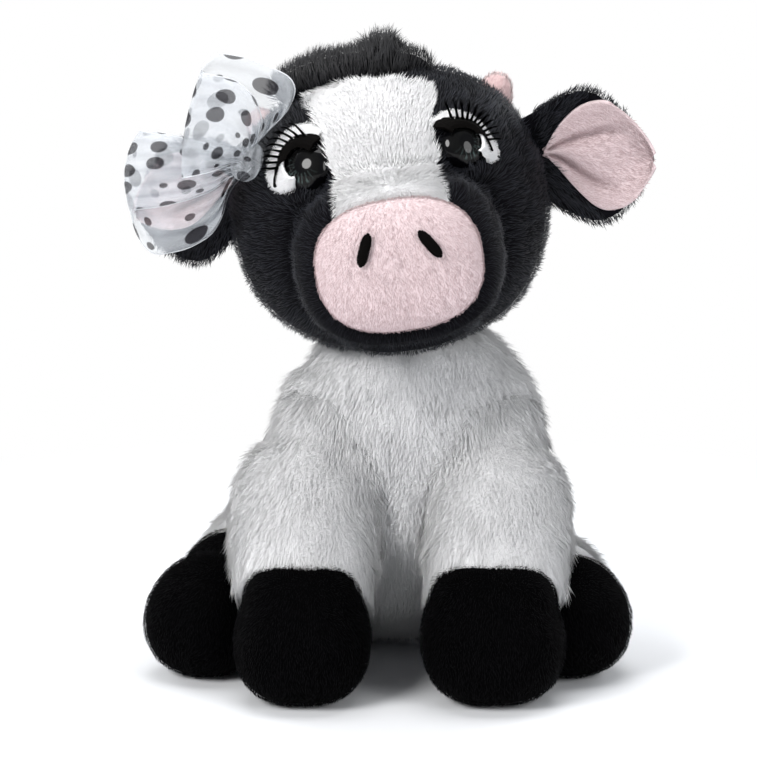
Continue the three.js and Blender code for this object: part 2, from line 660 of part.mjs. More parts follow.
// Ears
const liningLengthShare = 0.93; // of the ear's length
const earFrontShare = 0.2; // of the leaf's thickness, in front of the root's axis
const earSwing = radians(26); // each ear is cut clear of the head through this much flap
const headSwungAbout = (side, angle) => {
  const frame = earFrame(side);
  return headForm(seamGap, 16, 10).transform(frame.clone().multiply(turn(0, 0, angle)).multiply(frame.clone().invert()).toArray());
};
for (const s of sides) {
  const side = signs[s];
  const leafFront = -earFrontShare * earThickness;
  const outer = earLeaf(side, earLength, earHeight / 2, 0, leafFront, leafFront + earThickness)
    .subtract(headForm(seamGap, 16, 10))
    .subtract(headSwungAbout(side, earSwing))
    .subtract(headSwungAbout(side, -earSwing))
    .add(earRoot(side, 0));
  const liningFrom = earRootRadius + jointGap + seamGap;
  const liningBack = leafFront - seamGap;
  const lining = earLeaf(side, earLength * liningLengthShare, earHeight / 2 - liningMargin, liningFrom, liningBack - liningThickness, liningBack);
  piece(earGroups[s], "ear_outer_" + s, outer, black);
  piece(earGroups[s], "ear_lining_" + s, lining.subtract(earRoot(side, seamGap)), pink);
}

// Forelock: locks that rise from the crown to one peak. Place across, height and lean, as shares of the tuft's width, height and width.
const lockShares = [
  [-0.46, 0.5, -0.1],
  [-0.3, 0.72, -0.04],
  [-0.12, 0.88, 0.02],
  [0.05, 1, 0.03],
  [0.22, 0.82, 0.08],
  [0.38, 0.55, 0.12],
];
const forelockShiftShares = [-0.1, -0.05]; // of the tuft's width and the head's depth
// A lock's rings as shares of its length and width.
const lockRingShares = [
  [0, 1],
  [0.45, 0.85],
  [0.8, 0.45],
  [1, 0.12],
];
const lockWidthShare = 0.286; // of the tuft's width
const crownHeight = (x, y) =>
  (headHeight / 2) * (1 - Math.abs((2 * x) / headWidth) ** squarenessShares.head - Math.abs((2 * y) / headDepth) ** squarenessShares.head) ** (1 / squarenessShares.head);
let forelock;
for (const [across, height, lean] of lockShares) {
  const x = (across + forelockShiftShares[0]) * forelockWidth;
  const y = forelockShiftShares[1] * headDepth;
  const root = new THREE.Vector3(x, y, crownHeight(x, y) - forelockHeight / 3);
  const tip = new THREE.Vector3(x + lean * forelockWidth, y - forelockDepth / 4, headHeight / 2 + height * forelockHeight);
  const rings = lockRingShares.map(([l, w]) => ({
    at: root.clone().lerp(tip, l),
    u: X,
    v: Y,
    a: (w * lockWidthShare * forelockWidth) / 2,
    b: (w * forelockDepth) / 2,
  }));
  const lock = loft(rings, 5);
  forelock = forelock ? forelock.add(lock) : lock;
}
forelock = forelock.transform(inHead(new THREE.Matrix4()).toArray()).subtract(headForm(seamGap, 16, 10));
for (const side of [-1, 1]) forelock = forelock.subtract(hornForm(side, seamGap));
piece(headGroup, "forelock", forelock, black);

// Bow: a gathered knot at the left ear's root and two ribbon loops that spread from it.
const knotShares = [-0.81, -0.58, 0.58]; // of the head's half width, half depth and half height
const bowTurn = radians(5);
const knotAt = place((knotShares[0] * headWidth) / 2, (knotShares[1] * headDepth) / 2, (knotShares[2] * headHeight) / 2);
const bowFrame = inHead(knotAt.multiply(turn(0, 0, bowTurn)));
const knotForm = (grow) => puff([knotWidth / 2 + grow, knotDepth / 2 + grow, knotHeight / 2 + grow], squarenessShares.knot, 12, 8, bowFrame);
const pleatCount = 3;
const upperHeading = radians(82);
const lowerHeading = radians(193);
const gatheredShare = 0.25; // of the ribbon's width, at the knot
const apart = ribbonThickness * 1.6; // the two layers of a loop at the knot
const loopOffset = apart * 3.2; // each loop in front of or behind the knot's middle
function ribbonLoop(length, heading, layer) {
  const along = new THREE.Vector3(Math.cos(heading), 0, Math.sin(heading));
  const across = new THREE.Vector3(-Math.sin(heading), 0, Math.cos(heading));
  const loop = cloth(
    (s, t) => {
      const out = Math.sin(Math.PI * s) ** 0.8;
      const spread = gatheredShare + (1 - gatheredShare) * Math.sqrt(out);
      const bulge = loopBulgeDepth * Math.sin(2 * Math.PI * s) + apart * Math.cos(Math.PI * s);
      const fold = (1 - out) * ribbonThickness * Math.cos(2 * Math.PI * pleatCount * t) + out * ribbonThickness * Math.cos(Math.PI * pleatCount * (t - 0.4));
      return along
        .clone()
        .multiplyScalar(out * length)
        .addScaledVector(across, (t - 0.5) * ribbonWidth * spread)
        .addScaledVector(Y, layer * loopOffset - bulge - fold);
    },
    12,
    5,
    ribbonThickness,
  );
  return loop.transform(bowFrame.toArray()).subtract(knotForm(seamGap));
}
piece(headGroup, "bow_knot", knotForm(0).subtract(headForm(seamGap, 16, 10)), organza);
piece(headGroup, "bow_loop_upper", ribbonLoop(upperLoopLength, upperHeading, -1), organza);
piece(headGroup, "bow_loop_lower", ribbonLoop(lowerLoopLength, lowerHeading, 1), organza);

// Legs: casing, boot and the filling that runs through both. Each hind leg gives way to the front leg before it.
const swungTorso = (leg, axis, angle) => {
  const about = place(...leg.root).multiply(new THREE.Matrix4().makeRotationAxis(axis, angle)).multiply(place(...leg.root.clone().negate()));
  return torsoForm(jointGap, 16).transform(about.toArray());
};
const clearOf = (leg, axis, swing) =>
  torsoForm(seamGap, 16).add(swungTorso(leg, axis, swing / 2)).add(swungTorso(leg, axis, swing)).subtract(leg.ball(0)).add(underFloor);
function legPieces(leg, parent, names, blocked, pressed) {
  const cavity = leg.legForm(-longPile, 7).subtract(leg.beyondCuff(overrun)).subtract(pressed(longPile));
  const bootCavity = leg.endForm(-shortPile, 8, 5).subtract(pressed(longPile));
  const openCuff = bootCavity.intersect(leg.beyondCuff(-jointGap));
  const casing = leg.legForm(0).add(leg.ball(0)).subtract(leg.beyondCuff(0)).subtract(blocked).subtract(cavity).subtract(openCuff);
  const boot = leg.endForm(0).intersect(leg.beyondCuff(seamGap)).subtract(blocked).subtract(bootCavity);
  const bootFilling = leg.endForm(-shortPile - seamGap, 8, 5).intersect(leg.beyondCuff(-seamGap));
  const stuffed = leg.legForm(-longPile - seamGap, 7).subtract(leg.beyondCuff(0)).add(bootFilling);
  piece(parent, names[0], casing, white);
  piece(parent, names[1], boot, bootBlack);
  const fill = stuffed.subtract(torsoForm(longPile + seamGap, 8)).subtract(pressed(longPile + seamGap));
  piece(parent, names[2], fill, stuffing);
}
for (const s of sides) {
  const leg = front[s];
  const blocked = clearOf(leg, X, frontSwing);
  legPieces(leg, group(cow, place(...leg.root)), ["front_leg_" + s, "front_hoof_" + s, "front_leg_filling_" + s], blocked, () => underFloor);
}
for (const s of sides) {
  const leg = hind[s];
  const before = front[s];
  const pressed = (gap) => before.legForm(gap).add(before.endForm(gap));
  const blocked = clearOf(leg, Z, -signs[s] * hindSwing).add(pressed(seamGap)).add(before.ball(jointGap));
  legPieces(leg, group(cow, place(...leg.root)), ["hind_leg_" + s, "hind_foot_" + s, "hind_leg_filling_" + s], blocked, pressed);
}

// Tail
const tailGroup = group(cow, place(...tailRoot));
const tube = [];
const tailStepCount = 5;
for (let i = 0; i <= tailStepCount; i++) {
  const t = i / tailStepCount;
  const tangent = tailPath.getTangent(t);
  tube.push({ at: tailPath.getPoint(t), u: X, v: tangent.clone().cross(X), a: tailWidth / 2, b: tailWidth / 2 });
}
const tuftCentreShare = 0.3; // of its length, behind the tail's end
const tuftForm = (grow) =>
  puff(
    [tuftWidth / 2 + grow, tuftLength / 2 + grow, tuftWidth / 2 + grow],
    2,
    10,
    6,
    place(0, tailEnd.y + tuftCentreShare * tuftLength, tuftWidth / 2 - floorCut),
  );
piece(tailGroup, "tail", loft(tube, 8).subtract(torsoForm(seamGap, 16)).add(tailBall(0)).subtract(tuftForm(seamGap)), white);
piece(tailGroup, "tail_tuft", tuftForm(0).subtract(underFloor), black);

export default cow;
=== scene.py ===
import math

import bmesh
import bpy
import numpy as np
from mathutils import Matrix, Vector
from mathutils.bvhtree import BVHTree


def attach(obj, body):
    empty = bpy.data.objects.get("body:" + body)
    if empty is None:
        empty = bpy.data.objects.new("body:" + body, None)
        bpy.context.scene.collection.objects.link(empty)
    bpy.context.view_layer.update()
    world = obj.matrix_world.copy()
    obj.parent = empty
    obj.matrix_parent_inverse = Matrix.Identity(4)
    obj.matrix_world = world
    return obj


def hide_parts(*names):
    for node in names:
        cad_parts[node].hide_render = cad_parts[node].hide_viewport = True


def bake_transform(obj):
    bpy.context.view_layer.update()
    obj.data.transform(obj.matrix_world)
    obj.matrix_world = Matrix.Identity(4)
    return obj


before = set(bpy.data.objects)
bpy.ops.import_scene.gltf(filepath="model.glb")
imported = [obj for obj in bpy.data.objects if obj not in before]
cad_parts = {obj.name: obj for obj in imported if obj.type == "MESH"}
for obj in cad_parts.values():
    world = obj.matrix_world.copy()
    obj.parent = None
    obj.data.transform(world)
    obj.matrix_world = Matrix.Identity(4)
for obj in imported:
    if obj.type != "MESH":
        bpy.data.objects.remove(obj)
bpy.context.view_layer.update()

# The place where it sits: a white table that fades into a white room, big soft lamps, and the camera
# a little above the toy's eyes. The lamps are large and near, as in a product tent, so shadows stay soft.
view_from = Vector((-0.00454, -1.27159, 0.37529))
view_at = Vector((-0.00454, 0, 0.105))
camera = bpy.data.objects.new("camera", bpy.data.cameras.new("camera"))
camera.data.lens = 155.9
camera.data.sensor_width = 36
camera.location = view_from
camera.rotation_euler = (view_at - view_from).to_track_quat("-Z", "Y").to_euler()
bpy.context.scene.collection.objects.link(camera)
bpy.context.scene.camera = camera
bpy.context.scene.view_settings.view_transform = "Standard"


def node_in(tree, kind, links={}, **settings):
    """One node with its properties set, its inputs filled or linked, by name or place."""
    made = tree.nodes.new(kind)
    for key, value in settings.items():
        setattr(made, key, value)
    for key, value in links.items():
        if isinstance(value, bpy.types.NodeSocket):
            tree.links.new(value, made.inputs[key])
        else:
            made.inputs[key].default_value = value
    return made


def new_material(name):
    material = bpy.data.materials.new(name)
    material.use_nodes = True
    material.node_tree.nodes.clear()
    return material, material.node_tree


def ramp_in(tree, value, low, high, curve="LINEAR", to=(0, 1)):
    """Rises from one value to another while the input goes from low to high."""
    places = {"Value": value, "From Min": low, "From Max": high, "To Min": to[0], "To Max": to[1]}
    return node_in(tree, "ShaderNodeMapRange", places, interpolation_type=curve).outputs[0]


table_paint, tree = new_material("white_table")
spot = node_in(tree, "ShaderNodeTexCoord").outputs["Object"]
away = node_in(tree, "ShaderNodeVectorMath", {0: spot}, operation="LENGTH").outputs["Value"]
fade = ramp_in(tree, away, 0.16, 0.36, "SMOOTHSTEP")
seen = node_in(tree, "ShaderNodeLightPath")
rays = node_in(
    tree, "ShaderNodeMath", {0: seen.outputs["Is Camera Ray"], 1: seen.outputs["Is Glossy Ray"]},
    operation="MAXIMUM"
)
rays = node_in(
    tree, "ShaderNodeMath", {0: rays.outputs[0], 1: seen.outputs["Is Transmission Ray"]},
    operation="MAXIMUM"
)
share = node_in(tree, "ShaderNodeMath", {0: rays.outputs[0], 1: fade}, operation="MULTIPLY")
matt = node_in(tree, "ShaderNodeBsdfDiffuse", {"Color": (0.82, 0.83, 0.85, 1)})
glow = node_in(tree, "ShaderNodeEmission", {"Color": (1, 1, 1, 1), "Strength": 1})
both = node_in(tree, "ShaderNodeMixShader", {0: share.outputs[0], 1: matt.outputs[0], 2: glow.outputs[0]})
node_in(tree, "ShaderNodeOutputMaterial", {0: both.outputs[0]})

bpy.ops.mesh.primitive_circle_add(vertices=96, radius=3, fill_type="NGON", location=(0, 0, -0.0001))
table = bpy.context.object
table.name = "white_table"
table.data.materials.append(table_paint)

room = bpy.data.worlds.new("white_room")
room.use_nodes = True
tree = room.node_tree
tree.nodes.clear()
seen = node_in(tree, "ShaderNodeLightPath")
rays = node_in(
    tree, "ShaderNodeMath", {0: seen.outputs["Is Camera Ray"], 1: seen.outputs["Is Transmission Ray"]},
    operation="MAXIMUM"
)
dim = node_in(tree, "ShaderNodeBackground", {"Color": (0.93, 0.96, 1, 1), "Strength": 0.25})
white = node_in(tree, "ShaderNodeBackground", {"Color": (1, 1, 1, 1), "Strength": 1})
both = node_in(tree, "ShaderNodeMixShader", {0: rays.outputs[0], 1: dim.outputs[0], 2: white.outputs[0]})
node_in(tree, "ShaderNodeOutputWorld", {0: both.outputs[0]})
bpy.context.scene.world = room


def softbox(name, place, size, power, tint):
    lamp = bpy.data.lights.new(name, "AREA")
    lamp.shape = "ELLIPSE"
    lamp.size, lamp.size_y = size
    lamp.energy = power
    lamp.color = tint
    holder = bpy.data.objects.new(name, lamp)
    holder.location = place
    holder.rotation_euler = (Vector((0, 0, 0.12)) - Vector(place)).to_track_quat("-Z", "Y").to_euler()
    bpy.context.scene.collection.objects.link(holder)


softbox("key_softbox", (-0.9, -1.0, 0.95), (0.7, 0.7), 21, (1, 0.995, 0.985))
softbox("fill_softbox", (1.0, -1.0, 0.7), (0.6, 0.9), 8, (0.99, 0.995, 1))
softbox("top_softbox", (0, 0.1, 1.3), (1.2, 0.9), 12, (1, 1, 1))
softbox("back_left_softbox", (-1.0, 0.8, 0.6), (0.5, 1.0), 7.5, (0.97, 0.985, 1))
softbox("back_right_softbox", (1.0, 0.8, 0.6), (0.5, 1.0), 8, (0.97, 0.985, 1))


# The body cover: one pear-shaped bag of white long-pile fabric, sewn shut under the seat and stuffed firmly.
# Its pile is combed down the chest and back, and lies flat where the seat meets the table.
def ball_form(centre, halves, squareness=2.0, turned=Matrix.Identity(3), columns=56, rows=36):
    """A stuffed ball: rounder at squareness 2, boxier above."""
    points, faces = [], []
    for i in range(rows + 1):
        a = math.pi * i / rows
        for j in range(columns if 0 < i < rows else 1):
            b = 2 * math.pi * j / columns
            d = np.array([math.sin(a) * math.cos(b), math.sin(a) * math.sin(b), math.cos(a)])
            points.append(d * np.sum(np.abs(d) ** squareness) ** (-1 / squareness) * np.array(halves))
    start = lambda i: 0 if i == 0 else 1 + (i - 1) * columns
    for i in range(rows):
        for j in range(columns):
            k = (j + 1) % columns
            up, down = start(i), start(i + 1)
            if i == 0:
                faces.append((up, down + j, down + k))
            elif i == rows - 1:
                faces.append((up + j, down, up + k))
            else:
                faces.append((up + j, down + j, down + k, up + k))
    points = np.array(points) @ np.array(turned).T + np.array(centre)
    return points, faces


def tube_faces(rings, columns):
    """The faces of a tube of rings of points, closed at both ends."""
    faces = []
    for i in range(rings - 1):
        for j in range(columns):
            k = (j + 1) % columns
            faces.append((i * columns + j, i * columns + k, (i + 1) * columns + k, (i + 1) * columns + j))
    last = (rings - 1) * columns
    return faces + [tuple(range(columns))[::-1], tuple(range(last, last + columns))]


def ring_form(rings, across, toward, squareness=2.0, columns=56):
    """A tube through rings of (centre, half width, half depth), closed at both ends."""
    across, toward = np.array(across), np.array(toward)
    points = []
    for centre, wide, deep in rings:
        for j in range(columns):
            c, s = math.cos(2 * math.pi * j / columns), math.sin(2 * math.pi * j / columns)
            r = (abs(c) ** squareness + abs(s) ** squareness) ** (-1 / squareness)
            points.append(np.array(centre) + across * wide * r * c + toward * deep * r * s)
    return np.array(points), tube_faces(len(rings), columns)


def plain_mesh(name, points, faces):
    mesh = bpy.data.meshes.new(name)
    mesh.from_pydata([tuple(p) for p in points], [], [tuple(f) for f in faces])
    made = bpy.data.objects.new(name, mesh)
    bpy.context.scene.collection.objects.link(made)
    return made


def copy_of(made, name):
    """A second piece on the same points and faces."""
    second = bpy.data.objects.new(name, made.data.copy())
    bpy.context.scene.collection.objects.link(second)
    return second


def put_on(made, material):
    """Gives a piece its one material."""
    made.data.materials.clear()
    made.data.materials.append(material)


def settled(made):
    """The piece with its modifiers applied."""
    graph = bpy.context.evaluated_depsgraph_get()
    mesh = bpy.data.meshes.new_from_object(made.evaluated_get(graph))
    made.modifiers.clear()
    made.data = mesh
    mesh.name = made.name
    return made


def softened(made, voxel, rounds):
    """The piece as one closed skin of even cells with its corners smoothed away."""
    cut = made.modifiers.new("voxel", "REMESH")
    cut.mode, cut.voxel_size, cut.use_smooth_shade = "VOXEL", voxel, True
    soft = made.modifiers.new("soft", "SMOOTH")
    soft.factor, soft.iterations = 0.5, rounds
    return settled(made)


def stuffed_skin(name, forms, voxel=0.0024, rounds=14):
    """Forms melted into one smooth skin, as stuffing fills a sewn cover."""
    points, faces, first = [], [], 0
    for p, f in forms:
        points.extend(p)
        faces.extend(tuple(i + first for i in face) for face in f)
        first += len(p)
    return softened(plain_mesh(name, points, faces), voxel, rounds)


def points_of(made):
    """Where the piece's points lie, one row each."""
    co = np.empty(len(made.data.vertices) * 3)
    made.data.vertices.foreach_get("co", co)
    return co.reshape(-1, 3)


def normals_of(made):
    out = np.empty(len(made.data.vertices) * 3)
    made.data.vertex_normals.foreach_get("vector", out)
    return out.reshape(-1, 3)


def move_points(made, co):
    made.data.vertices.foreach_set("co", np.ascontiguousarray(co, dtype=np.float32).ravel())
    made.data.update()


def set_down(made, height=0.0006):
    """Flattens what would reach below the cloth's own height above the table."""
    co = points_of(made)
    co[:, 2] = np.maximum(co[:, 2], height)
    move_points(made, co)


def smooth_step(value, low, high):
    t = np.clip((value - low) / (high - low), 0, 1)
    return t * t * (3 - 2 * t)


def ways(x, y, z):
    """A direction for each point, from parts that are one number or one for each point."""
    return np.stack(np.broadcast_arrays(x, y, z), 1)


def ridge(value, middle, width):
    """1 at the middle and falling away to 0 on both sides of it."""
    return np.exp(-(((value - middle) / width) ** 2))


def comb(skin, direction, cover, length, lift):
    """Tells the pile on a skin which way it lies, where it grows, how long it is and how far it stands."""
    count = len(skin.data.vertices)
    for name, kind, values in (
        ("comb", "FLOAT_VECTOR", direction),
        ("pile_cover", "FLOAT", cover),
        ("pile_length", "FLOAT", length),
        ("pile_lift", "FLOAT", lift),
    ):
        attribute = skin.data.attributes.get(name) or skin.data.attributes.new(name, kind, "POINT")
        if kind == "FLOAT":
            attribute.data.foreach_set(
                "value", np.broadcast_to(np.asarray(values, np.float32), count).copy()
            )
        else:
            attribute.data.foreach_set(
                "vector", np.broadcast_to(np.asarray(values, np.float32), (count, 3)).ravel().copy()
            )


def math_in(tree, operation, a, b=None, c=None):
    links = {i: v for i, v in enumerate((a, b, c)) if v is not None}
    return node_in(tree, "ShaderNodeMath", links, operation=operation).outputs[0]


def vector_in(tree, operation, a, b=None, scale=None):
    links = {i: v for i, v in enumerate((a, b)) if v is not None}
    if scale is not None:
        links["Scale"] = scale
    made = node_in(tree, "ShaderNodeVectorMath", links, operation=operation)
    return made.outputs["Value" if operation in ("DOT_PRODUCT", "LENGTH") else "Vector"]


def new_group(name, kind, inputs, outputs):
    """A node group, and its inputs as sockets; each is a name, a kind and perhaps a start value."""
    group = bpy.data.node_groups.new(name, kind)
    for way, sockets in (("INPUT", inputs), ("OUTPUT", outputs)):
        for socket, holds, *start in sockets:
            made = group.interface.new_socket(socket, in_out=way, socket_type="NodeSocket" + holds)
            if start:
                made.default_value = start[0]
    return group, group.nodes.new("NodeGroupInput").outputs


pile_tree, asked = new_group(
    "combed_pile",
    "GeometryNodeTree",
    (
        ("Skin", "Geometry"),
        ("Spacing", "Float", 0.0008),
        ("Length", "Float", 0.008),
        ("Thickness", "Float", 0.0003),
        ("Bend", "Float", 0.35),
        ("Lock Size", "Float", 0.006),
        ("Lock Pull", "Float", 0.5),
        ("Stray", "Float", 0.25),
        ("Seed", "Int", 1),
        ("Sides", "Int", 3),
        ("Steps", "Int", 2),
        ("Fibre", "Material"),
    ),
    [("Pile", "Geometry")],
)
pile_tree.is_modifier = True


def attribute_in(tree, name, kind="FLOAT"):
    return node_in(
        tree, "GeometryNodeInputNamedAttribute", {"Name": name}, data_type=kind
    ).outputs["Attribute"]


def store_in(tree, geometry, name, value, kind="FLOAT", domain="POINT"):
    """The geometry with a value kept on it under a name."""
    links = {"Geometry": geometry, "Name": name, "Value": value}
    return node_in(
        tree, "GeometryNodeStoreNamedAttribute", links, data_type=kind, domain=domain
    ).outputs[0]


def chance_in(tree, low, high, offset):
    seed = math_in(tree, "ADD", asked["Seed"], offset)
    return node_in(
        tree, "FunctionNodeRandomValue", {2: low, 3: high, "Seed": seed}, data_type="FLOAT"
    ).outputs[1]


# The fibre: a thin spindle, rooted in the fabric, that bends the way it is combed.
spindle = node_in(
    pile_tree, "GeometryNodeMeshUVSphere",
    {"Segments": asked["Sides"], "Rings": asked["Steps"], "Radius": 1.0}
)
at = node_in(pile_tree, "GeometryNodeInputPosition").outputs[0]
x, y, z = node_in(pile_tree, "ShaderNodeSeparateXYZ", {0: at}).outputs
along = math_in(pile_tree, "MULTIPLY_ADD", z, 0.5, 0.5)
half = math_in(
    pile_tree, "DIVIDE", asked["Thickness"], math_in(pile_tree, "MULTIPLY", asked["Length"], 2.0)
)
swing = math_in(pile_tree, "MULTIPLY", math_in(pile_tree, "MULTIPLY", along, along), asked["Bend"])
fuller = math_in(
    pile_tree, "MULTIPLY", half,
    math_in(pile_tree, "MULTIPLY_ADD", math_in(pile_tree, "SUBTRACT", 1.0, along), 0.9, 0.75)
)
fibre_x = math_in(pile_tree, "MULTIPLY_ADD", x, fuller, swing)
fibre_y = math_in(pile_tree, "MULTIPLY", y, fuller)
shaped = node_in(pile_tree, "ShaderNodeCombineXYZ", {0: fibre_x, 1: fibre_y, 2: along})
side = math_in(pile_tree, "MULTIPLY_ADD", y, 0.7, x)
fibre = store_in(pile_tree, spindle.outputs["Mesh"], "fibre_side", side)
fibre = store_in(pile_tree, fibre, "fibre_way", along)
fibre = node_in(
    pile_tree, "GeometryNodeSetPosition", {"Geometry": fibre, "Position": shaped.outputs[0]}
)

# Its root: spread evenly over the skin, leaning with the comb, drawn into locks by a slow noise.
even = node_in(
    pile_tree,
    "GeometryNodeBlurAttribute",
    {"Value": node_in(pile_tree, "GeometryNodeInputNormal").outputs[0], "Iterations": 7},
    data_type="FLOAT_VECTOR",
)
faced = store_in(pile_tree, asked["Skin"], "skin_normal", even.outputs[0], "FLOAT_VECTOR")
roots = node_in(
    pile_tree,
    "GeometryNodeDistributePointsOnFaces",
    {
        "Mesh": faced,
        "Distance Min": asked["Spacing"],
        "Density Max": math_in(
            pile_tree, "DIVIDE", 1.3, math_in(pile_tree, "MULTIPLY", asked["Spacing"], asked["Spacing"])
        ),
        "Density Factor": attribute_in(pile_tree, "pile_cover"),
        "Seed": asked["Seed"],
    },
    distribute_method="POISSON",
)
up = roots.outputs["Normal"]
place = node_in(pile_tree, "GeometryNodeInputPosition").outputs[0]
lock = node_in(
    pile_tree,
    "ShaderNodeTexNoise",
    {"Vector": place, "Scale": math_in(pile_tree, "DIVIDE", 1.0, asked["Lock Size"]), "Detail": 1.0},
    noise_dimensions="3D",
)
pull = vector_in(pile_tree, "SUBTRACT", lock.outputs["Color"], (0.5, 0.5, 0.5))
pull = vector_in(pile_tree, "SCALE", pull, scale=math_in(pile_tree, "MULTIPLY", asked["Lock Pull"], 2.0))
chances = {i: chance_in(pile_tree, -1.0, 1.0, i + 1) for i in range(3)}
loose = node_in(pile_tree, "ShaderNodeCombineXYZ", chances)
loose = vector_in(pile_tree, "SCALE", loose.outputs[0], scale=asked["Stray"])
way = vector_in(
    pile_tree, "ADD", attribute_in(pile_tree, "comb", "FLOAT_VECTOR"),
    vector_in(pile_tree, "ADD", pull, loose)
)
rise = vector_in(pile_tree, "SCALE", up, scale=vector_in(pile_tree, "DOT_PRODUCT", way, up))
lie = vector_in(pile_tree, "NORMALIZE", vector_in(pile_tree, "SUBTRACT", way, rise))
lifted = math_in(
    pile_tree, "ADD", attribute_in(pile_tree, "pile_lift"), chance_in(pile_tree, -0.08, 0.08, 5)
)
lifted = math_in(
    pile_tree, "ADD", lifted, math_in(pile_tree, "MULTIPLY_ADD", lock.outputs["Fac"], 0.7, -0.35)
)
stand = vector_in(
    pile_tree,
    "ADD",
    vector_in(pile_tree, "SCALE", up, scale=lifted),
    vector_in(pile_tree, "SCALE", lie, scale=math_in(pile_tree, "SUBTRACT", 1.0, lifted)),
)
turned = node_in(
    pile_tree, "FunctionNodeAxesToRotation", {"Primary Axis": stand, "Secondary Axis": lie},
    primary_axis="Z", secondary_axis="X"
)
size = math_in(pile_tree, "MULTIPLY", asked["Length"], attribute_in(pile_tree, "pile_length"))
size = math_in(pile_tree, "MULTIPLY", size, chance_in(pile_tree, 0.72, 1.08, 6))
tone = math_in(pile_tree, "MULTIPLY", lock.outputs["Fac"], 0.55)
tone = math_in(pile_tree, "ADD", tone, chance_in(pile_tree, 0.0, 0.45, 7))
toned = store_in(pile_tree, roots.outputs["Points"], "tone", tone)
sown = node_in(
    pile_tree,
    "GeometryNodeInstanceOnPoints",
    {
        "Points": toned, "Instance": fibre.outputs[0], "Rotation": turned.outputs[0], "Scale": size
    },
)
real = node_in(pile_tree, "GeometryNodeRealizeInstances", {0: sown.outputs[0]})
at = node_in(pile_tree, "GeometryNodeInputPosition").outputs[0]
x, y, z = node_in(pile_tree, "ShaderNodeSeparateXYZ", {0: at}).outputs
above = node_in(
    pile_tree, "ShaderNodeCombineXYZ", {0: x, 1: y, 2: math_in(pile_tree, "MAXIMUM", z, 0.0003)}
)
real = node_in(
    pile_tree, "GeometryNodeSetPosition", {"Geometry": real.outputs[0], "Position": above.outputs[0]}
)
u = math_in(pile_tree, "MULTIPLY_ADD", attribute_in(pile_tree, "tone"), 0.96, 0.02)
u = math_in(pile_tree, "MULTIPLY_ADD", attribute_in(pile_tree, "fibre_side"), 0.004, u)
v = math_in(pile_tree, "MULTIPLY_ADD", attribute_in(pile_tree, "fibre_way"), 0.96, 0.02)
uv = node_in(pile_tree, "ShaderNodeCombineXYZ", {0: u, 1: v}).outputs[0]
unwrapped = store_in(pile_tree, real.outputs[0], "OFBake", uv, "FLOAT2", "CORNER")
smooth = node_in(pile_tree, "GeometryNodeSetShadeSmooth", {"Geometry": unwrapped, "Shade Smooth": True})
dressed = node_in(
    pile_tree, "GeometryNodeSetMaterial", {"Geometry": smooth.outputs[0], "Material": asked["Fibre"]}
)
node_in(pile_tree, "NodeGroupOutput", {0: dressed.outputs[0]})


def grow_pile(name, skin, fibre, seed, **sizes):
    """The pile of one skin as a plain mesh of fibres."""
    pile = copy_of(skin, name)
    grower = pile.modifiers.new("pile", "NODES")
    grower.node_group = pile_tree
    asked_for = {key.replace("_", " ").title(): value for key, value in sizes.items()}
    asked_for |= {"Seed": seed, "Fibre": fibre}
    for item in pile_tree.interface.items_tree:
        if item.in_out == "INPUT" and item.name in asked_for:
            grower[item.identifier] = asked_for.pop(item.name)
    assert not asked_for, asked_for
    settled(pile)
    for extra in ("comb", "pile_cover", "pile_length", "pile_lift", "tone", "fibre_side", "fibre_way"):
        if extra in pile.data.attributes:
            pile.data.attributes.remove(pile.data.attributes[extra])
    return pile


def mixed_in(tree, share, low, high):
    """The colour that lies this share of the way from one colour to another."""
    links = {0: share, 6: low, 7: high}
    return node_in(tree, "ShaderNodeMix", links, data_type="RGBA").outputs[2]


def surface_in(tree, sockets):
    """Ends a material in one shader with these inputs."""
    shader = node_in(tree, "ShaderNodeBsdfPrincipled", sockets)
    node_in(tree, "ShaderNodeOutputMaterial", {0: shader.outputs[0]})


# Every fibre has one tone of its own and pales or darkens from root to tip.
strand_colours = [(name, "Color", (1, 1, 1, 1)) for name in ("Root", "Tip", "Shade")]
strand_group, given = new_group("fibre_colour", "ShaderNodeTree", strand_colours, [("Color", "Color")])
map_of = node_in(strand_group, "ShaderNodeUVMap", uv_map="OFBake")
u, v, _ = node_in(strand_group, "ShaderNodeSeparateXYZ", {0: map_of.outputs[0]}).outputs
length_wise = mixed_in(strand_group, v, given["Root"], given["Tip"])
toned = mixed_in(strand_group, u, given["Shade"], length_wise)
node_in(strand_group, "NodeGroupOutput", {0: toned})


def fibre_material(name, root, tip, shade, roughness, specular, softness=0.7):
    """Fibre whose shading leans toward that of the skin it grows on, as light scatters between fibres."""
    material, tree = new_material(name)
    grown_on = node_in(tree, "ShaderNodeAttribute", {}, attribute_name="skin_normal").outputs["Vector"]
    grown_on = node_in(
        tree, "ShaderNodeVectorTransform", {0: grown_on}, vector_type="NORMAL", convert_from="OBJECT",
        convert_to="WORLD"
    ).outputs[0]
    own = node_in(tree, "ShaderNodeNewGeometry").outputs["Normal"]
    facing = node_in(
        tree, "ShaderNodeMix", {0: softness, 4: own, 5: grown_on}, data_type="VECTOR"
    ).outputs[1]
    facing = vector_in(tree, "NORMALIZE", facing)
    colour = node_in(tree, "ShaderNodeGroup", {}, node_tree=strand_group)
    for key, value in (("Root", root), ("Tip", tip), ("Shade", shade)):
        colour.inputs[key].default_value = (*value, 1)
    surface_in(tree, {
        "Base Color": colour.outputs[0], "Roughness": roughness, "Specular IOR Level": specular,
        "Normal": facing
    })
    return material


